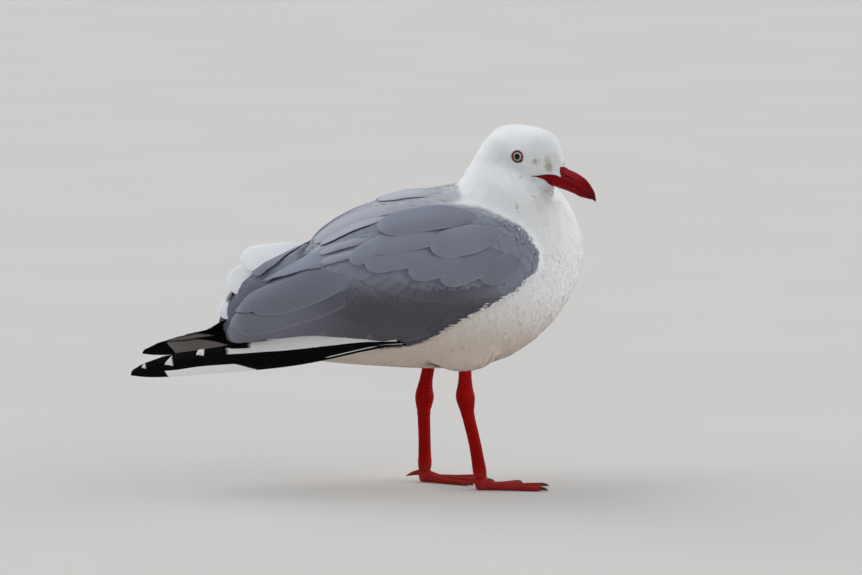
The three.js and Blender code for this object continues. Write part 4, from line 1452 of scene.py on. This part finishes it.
def look_axes(side):
    """Where an eye looks, and the ways towards the bill and the crown square to that."""
    look = look_of[side]
    front = unit(head_forward - (head_forward @ look) * look)
    return look, front, unit(head_up - (head_up @ look) * look - (head_up @ front) * front)


def eyeball(side, finish):
    """A wet ball with a slight bulge in front. Behind the widest point its marks say that it is dark."""
    look, front, up = look_axes(side)
    turn = turns(72)
    lean = np.concatenate([np.linspace(0.01, 0.7, 44), np.linspace(0.75, 3.13, 26)])
    bulge = EYE_RADIUS + 0.35 * ease(0.6, 0.0, lean)
    out = (np.sin(lean) * EYE_RADIUS)[:, None] * np.ones(len(turn))
    out = np.where(lean[:, None] > math.pi / 2, 9.0, out)
    radial = spokes(turn, front, up)
    points = eye_at[side] + (np.cos(lean) * bulge)[:, None, None] * look
    points = points + (np.sin(lean) * bulge)[:, None, None] * radial
    quads, caps = tube(len(lean), len(turn))
    quads, caps = quads[:, (0, 3, 2, 1)], caps[:, ::-1]
    if side == "left":
        quads, caps = quads[:, ::-1], caps[:, ::-1]
    bake = 0.5 + 0.48 * (lean / math.pi)[:, None, None] * side_by_side(np.cos(turn), np.sin(turn))
    marks = {"out": out.ravel(), "turn": np.broadcast_to(turn, out.shape).ravel()}
    name = "eyeball_" + side
    mesh = mesh_of(name, points.reshape(-1, 3), [quads, caps], {"OFBake": bake.reshape(-1, 2)}, marks)
    piece(name, mesh, finish, ("eye_" + side,))


def eye_ring(side, finish):
    """The bare, warty ring of skin round an eye, a little longer towards the bill."""
    look, front, up = look_axes(side)
    around, section = 96, 14
    turn = turns(around)
    corner = np.exp(-((np.angle(np.exp(1j * (turn + 0.55))) / 0.3) ** 2))
    outer = RING_OUTER + 0.5 * corner + 0.07 * np.sin(turn * 19) + 0.05 * np.sin(turn * 31 + 1)
    inner = RING_INNER + 0.04 * np.sin(turn * 13)
    radial = spokes(turn, front, up)
    inner_height = math.sqrt(EYE_RADIUS**2 - RING_INNER**2) - 0.05
    foot, _ = hull.nearest(eye_at[side] + look * 4.6 + radial * outer[:, None])
    outer_height = (foot - eye_at[side]) @ look + 0.05
    q = np.linspace(0, 1, section)
    reach = blend(inner[:, None], outer[:, None], q)
    height = blend(inner_height, outer_height[:, None], q) + 0.55 * np.sin(np.pi * q**0.8)
    height = height + 0.06 * np.sin(turn * 23)[:, None] * np.sin(np.pi * q)
    reach = np.concatenate([reach, reach[:, ::-1]], axis=1)
    height = np.concatenate([height, height[:, ::-1] - 0.9], axis=1)
    points = eye_at[side] + look * height[..., None] + radial[:, None] * reach[..., None]
    wide = 2 * section
    ring, k = np.arange(around)[:, None], np.arange(wide)
    next_ring, next_k = (ring + 1) % around, (k + 1) % wide
    ring, next_ring = ring * wide, next_ring * wide
    quads = side_by_side(ring + k, ring + next_k, next_ring + next_k, next_ring + k).reshape(-1, 4)
    if side == "left":
        quads = quads[:, ::-1]
    bake = side_by_side((np.arange(around)[:, None] + 0.5) / around, (k + 0.5) / wide)
    crest = np.concatenate([np.sin(np.pi * q), np.zeros(section)])
    marks = {"high": (crest * (1 - 0.9 * corner[:, None])).ravel()}
    name = "eye_ring_" + side
    mesh = mesh_of(name, points.reshape(-1, 3), [quads], {"OFBake": bake.reshape(-1, 2)}, marks)
    piece(name, mesh, finish, ("eyelid_" + side,))


# ---- legs ---------------------------------------------------------------------------------------------
LEG_VOXEL, LEG_SOFTENING = 0.45, 3
SCUTE, TOE_SCUTE = 2.3, 1.7  # how long the scales are down the shin and along the toes
TOES = ((38, -28), (46, 0), (44, 27))  # each toe's length and how far it is turned out
CLAW_FROM = 0.87  # where along a toe its claw begins
SHIN_FULLER, KNOB = 0.4, 0.75  # how much fuller than the solids the shin and the ankle are
SOLE = 0.02  # how high over the floor the lowest point is
# Where each heel is and where the foot points.
FEET = {"right": ((78.0, -24.0), 8), "left": ((47.0, 17.0), -14)}


def toe_way(side, spread):
    yaw = math.radians(FEET[side][1] + SIDES[side] * spread)
    return np.array((math.cos(yaw), math.sin(yaw), 0))


def leg(side, finish, claw):
    """One leg from the shin's top to the toes, with raised scales down its front and along the toes."""
    nodes = tuple(part + side for part in ("tibia_", "tarsus_", "foot_"))
    form = Form(nodes, LEG_VOXEL, LEG_SOFTENING)
    heel = np.array((*FEET[side][0], 0))
    place, out = form.points, form.vertex_normals
    on_shin = ease(7, 11, place[:, 2])
    front = ease(-0.15, 0.35, out @ toe_way(side, 0)) * on_shin
    best = np.full(len(place), 99.0)
    reach = np.zeros(len(place))
    for _, spread in TOES:
        way = toe_way(side, spread)
        ahead = (place - heel) @ way
        aside = np.abs((place - heel) @ np.array((-way[1], way[0], 0)))
        nearer = (aside < best) & (ahead > 0)
        best, reach = np.where(nearer, aside, best), np.where(nearer, ahead, reach)
    on_toe = (1 - on_shin) * ease(3.2, 2.2, best) * ease(0.1, 0.5, out[:, 2]) * ease(3, 6, reach)
    phase = np.where(on_shin > 0.5, place[:, 2] / SCUTE, reach / TOE_SCUTE)
    crown = 1 - np.abs(2 * (phase % 1) - 1) ** 4
    scale = np.maximum(front, on_toe)
    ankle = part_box("tarsus_" + side)[1][2] / MM
    fuller = SHIN_FULLER * on_shin + KNOB * np.exp(-(((place[:, 2] - ankle) / 4.5) ** 2))
    moved = place + out * (fuller + scale * (crown * 0.24 - 0.08))[:, None]
    moved[:, 2] = np.maximum(moved[:, 2], SOLE)
    put_points(form.source, moved)
    unwrap(form.source)
    marks = {"scute": phase, "front": scale, "low": 1 - ease(4, 16, place[:, 2])}
    form.piece("leg_" + side, marks, finish, "leg_scales", nodes)

    batch = Batch()
    for length, spread in TOES:
        t = np.linspace(CLAW_FROM - 0.03, 1.0, 14)
        height = np.interp(t, (0.84, 0.9, 0.96, 1.0), (1.75, 1.95, 1.55, 0.6))
        path = heel + toe_way(side, spread) * (t * length)[:, None] + np.array((0, 0, 1)) * height[:, None]
        strand(batch, path, 1.25 * np.sqrt(np.clip((1.01 - t) / 0.17, 0.01, 1)), 10)
    batch.piece("claws_" + side, claw, "leg_scales")


# ---- stage --------------------------------------------------------------------------------------------
CAMERA_TURN, CAMERA_RISE, CAMERA_AWAY = math.radians(-8), math.radians(6), 3.2
CAMERA_LENS = 205.6
AIM = (0.0486, 0, 0.1297)
FLOOR_REACH, FLOOR_HEIGHT = 16, -0.0002
LAMP_ANGLE = math.radians(70)
# Where each lamp shines from, how strong it is and its colour.
LAMPS = {
    "key": ((-0.62, 0.38, 0.68), 1.7, (0.97, 0.985, 1)),
    "side": ((0.9, -0.15, 0.38), 1.5, (1, 0.99, 0.98)),
    "fill": ((0, -1, 0.3), 0.15, (1, 0.99, 0.97)),
}
SKY = {"Color": (0.84, 0.92, 1, 1), "Strength": 0.42}


def stage():
    near, far = -FLOOR_REACH, FLOOR_REACH
    corners = [(x, y, FLOOR_HEIGHT) for x, y in ((near, near), (far, near), (far, far), (near, far))]
    floor = bpy.data.meshes.new("floor")
    floor.from_pydata(corners, [], [(0, 1, 2, 3)])
    floor.materials.append(floor_finish())
    placed("floor", floor)

    back = Vector((
        math.sin(CAMERA_TURN) * math.cos(CAMERA_RISE),
        -math.cos(CAMERA_TURN) * math.cos(CAMERA_RISE),
        math.sin(CAMERA_RISE),
    ))
    camera = placed("camera", bpy.data.cameras.new("camera"))
    camera.data.lens = CAMERA_LENS
    camera.data.clip_end = 50
    camera.location = Vector(AIM) + back * CAMERA_AWAY
    camera.rotation_euler = back.to_track_quat("Z", "Y").to_euler()
    bpy.context.scene.camera = camera

    for name, (way, power, colour) in LAMPS.items():
        lamp = bpy.data.lights.new(name, "SUN")
        lamp.angle, lamp.energy, lamp.color = LAMP_ANGLE, power, colour
        placed(name, lamp).rotation_euler = Vector(way).to_track_quat("Z", "Y").to_euler()
    world = bpy.data.worlds.new("world")
    bpy.context.scene.world = world
    world.use_nodes = True
    for key, value in SKY.items():
        world.node_tree.nodes["Background"].inputs[key].default_value = value
    bpy.context.scene.view_settings.view_transform = "Standard"


# ---- the bird -----------------------------------------------------------------------------------------
# For each stretch of plumage: its solid and slot, how far apart the tufts are, their length and width, and
# how many barbs each has.
STRETCHES = {
    "plumage_neck": ("neck", "white_plumage", 1.25, 7, 3.4, 7),
    "plumage_trunk": ("trunk", "white_plumage", 2.0, 11, 6.0, 9),
    "plumage_rump": ("rump", "white_feathers", 2.2, 12.5, 7, 9),
    "plumage_mantle": ("mantle", "grey_feathers", 2.1, 11, 5.6, 9),
    "coverts_right": ("wing_right", "grey_feathers", 2.2, 11, 5.8, 9),
    "coverts_left": ("wing_left", "grey_feathers", 2.2, 11, 5.8, 9),
}

skin_piece()
plumage_made = coat_finish("plumage")
head_coat(plumage_made)
for seed, (name, (node, slot, *sizes)) in enumerate(STRETCHES.items(), 50):
    body_coat(name, node, slot, plumage_made, seed, *sizes)
grey_vanes = vane_finish("grey vanes")
grey_coat(grey_vanes)
flight = flight_finish()
for side in SIDES:
    wing_tip(side, flight)
tail(grey_vanes)
raised_tertials(grey_vanes)
horn = bill_finish()
mandible("bill_upper_horn", UPPER_BILL, 1, "bill_upper", horn)
mandible("bill_lower_horn", LOWER_BILL, -1, "bill_lower", horn)
mouth_corners(horn)
wet_eye, bare_ring, scales, claws = eye_finish(), ring_finish(), leg_finish(), claw_finish()
for side in SIDES:
    eyeball(side, wet_eye)
    eye_ring(side, bare_ring)
    leg(side, scales, claws)
stage()
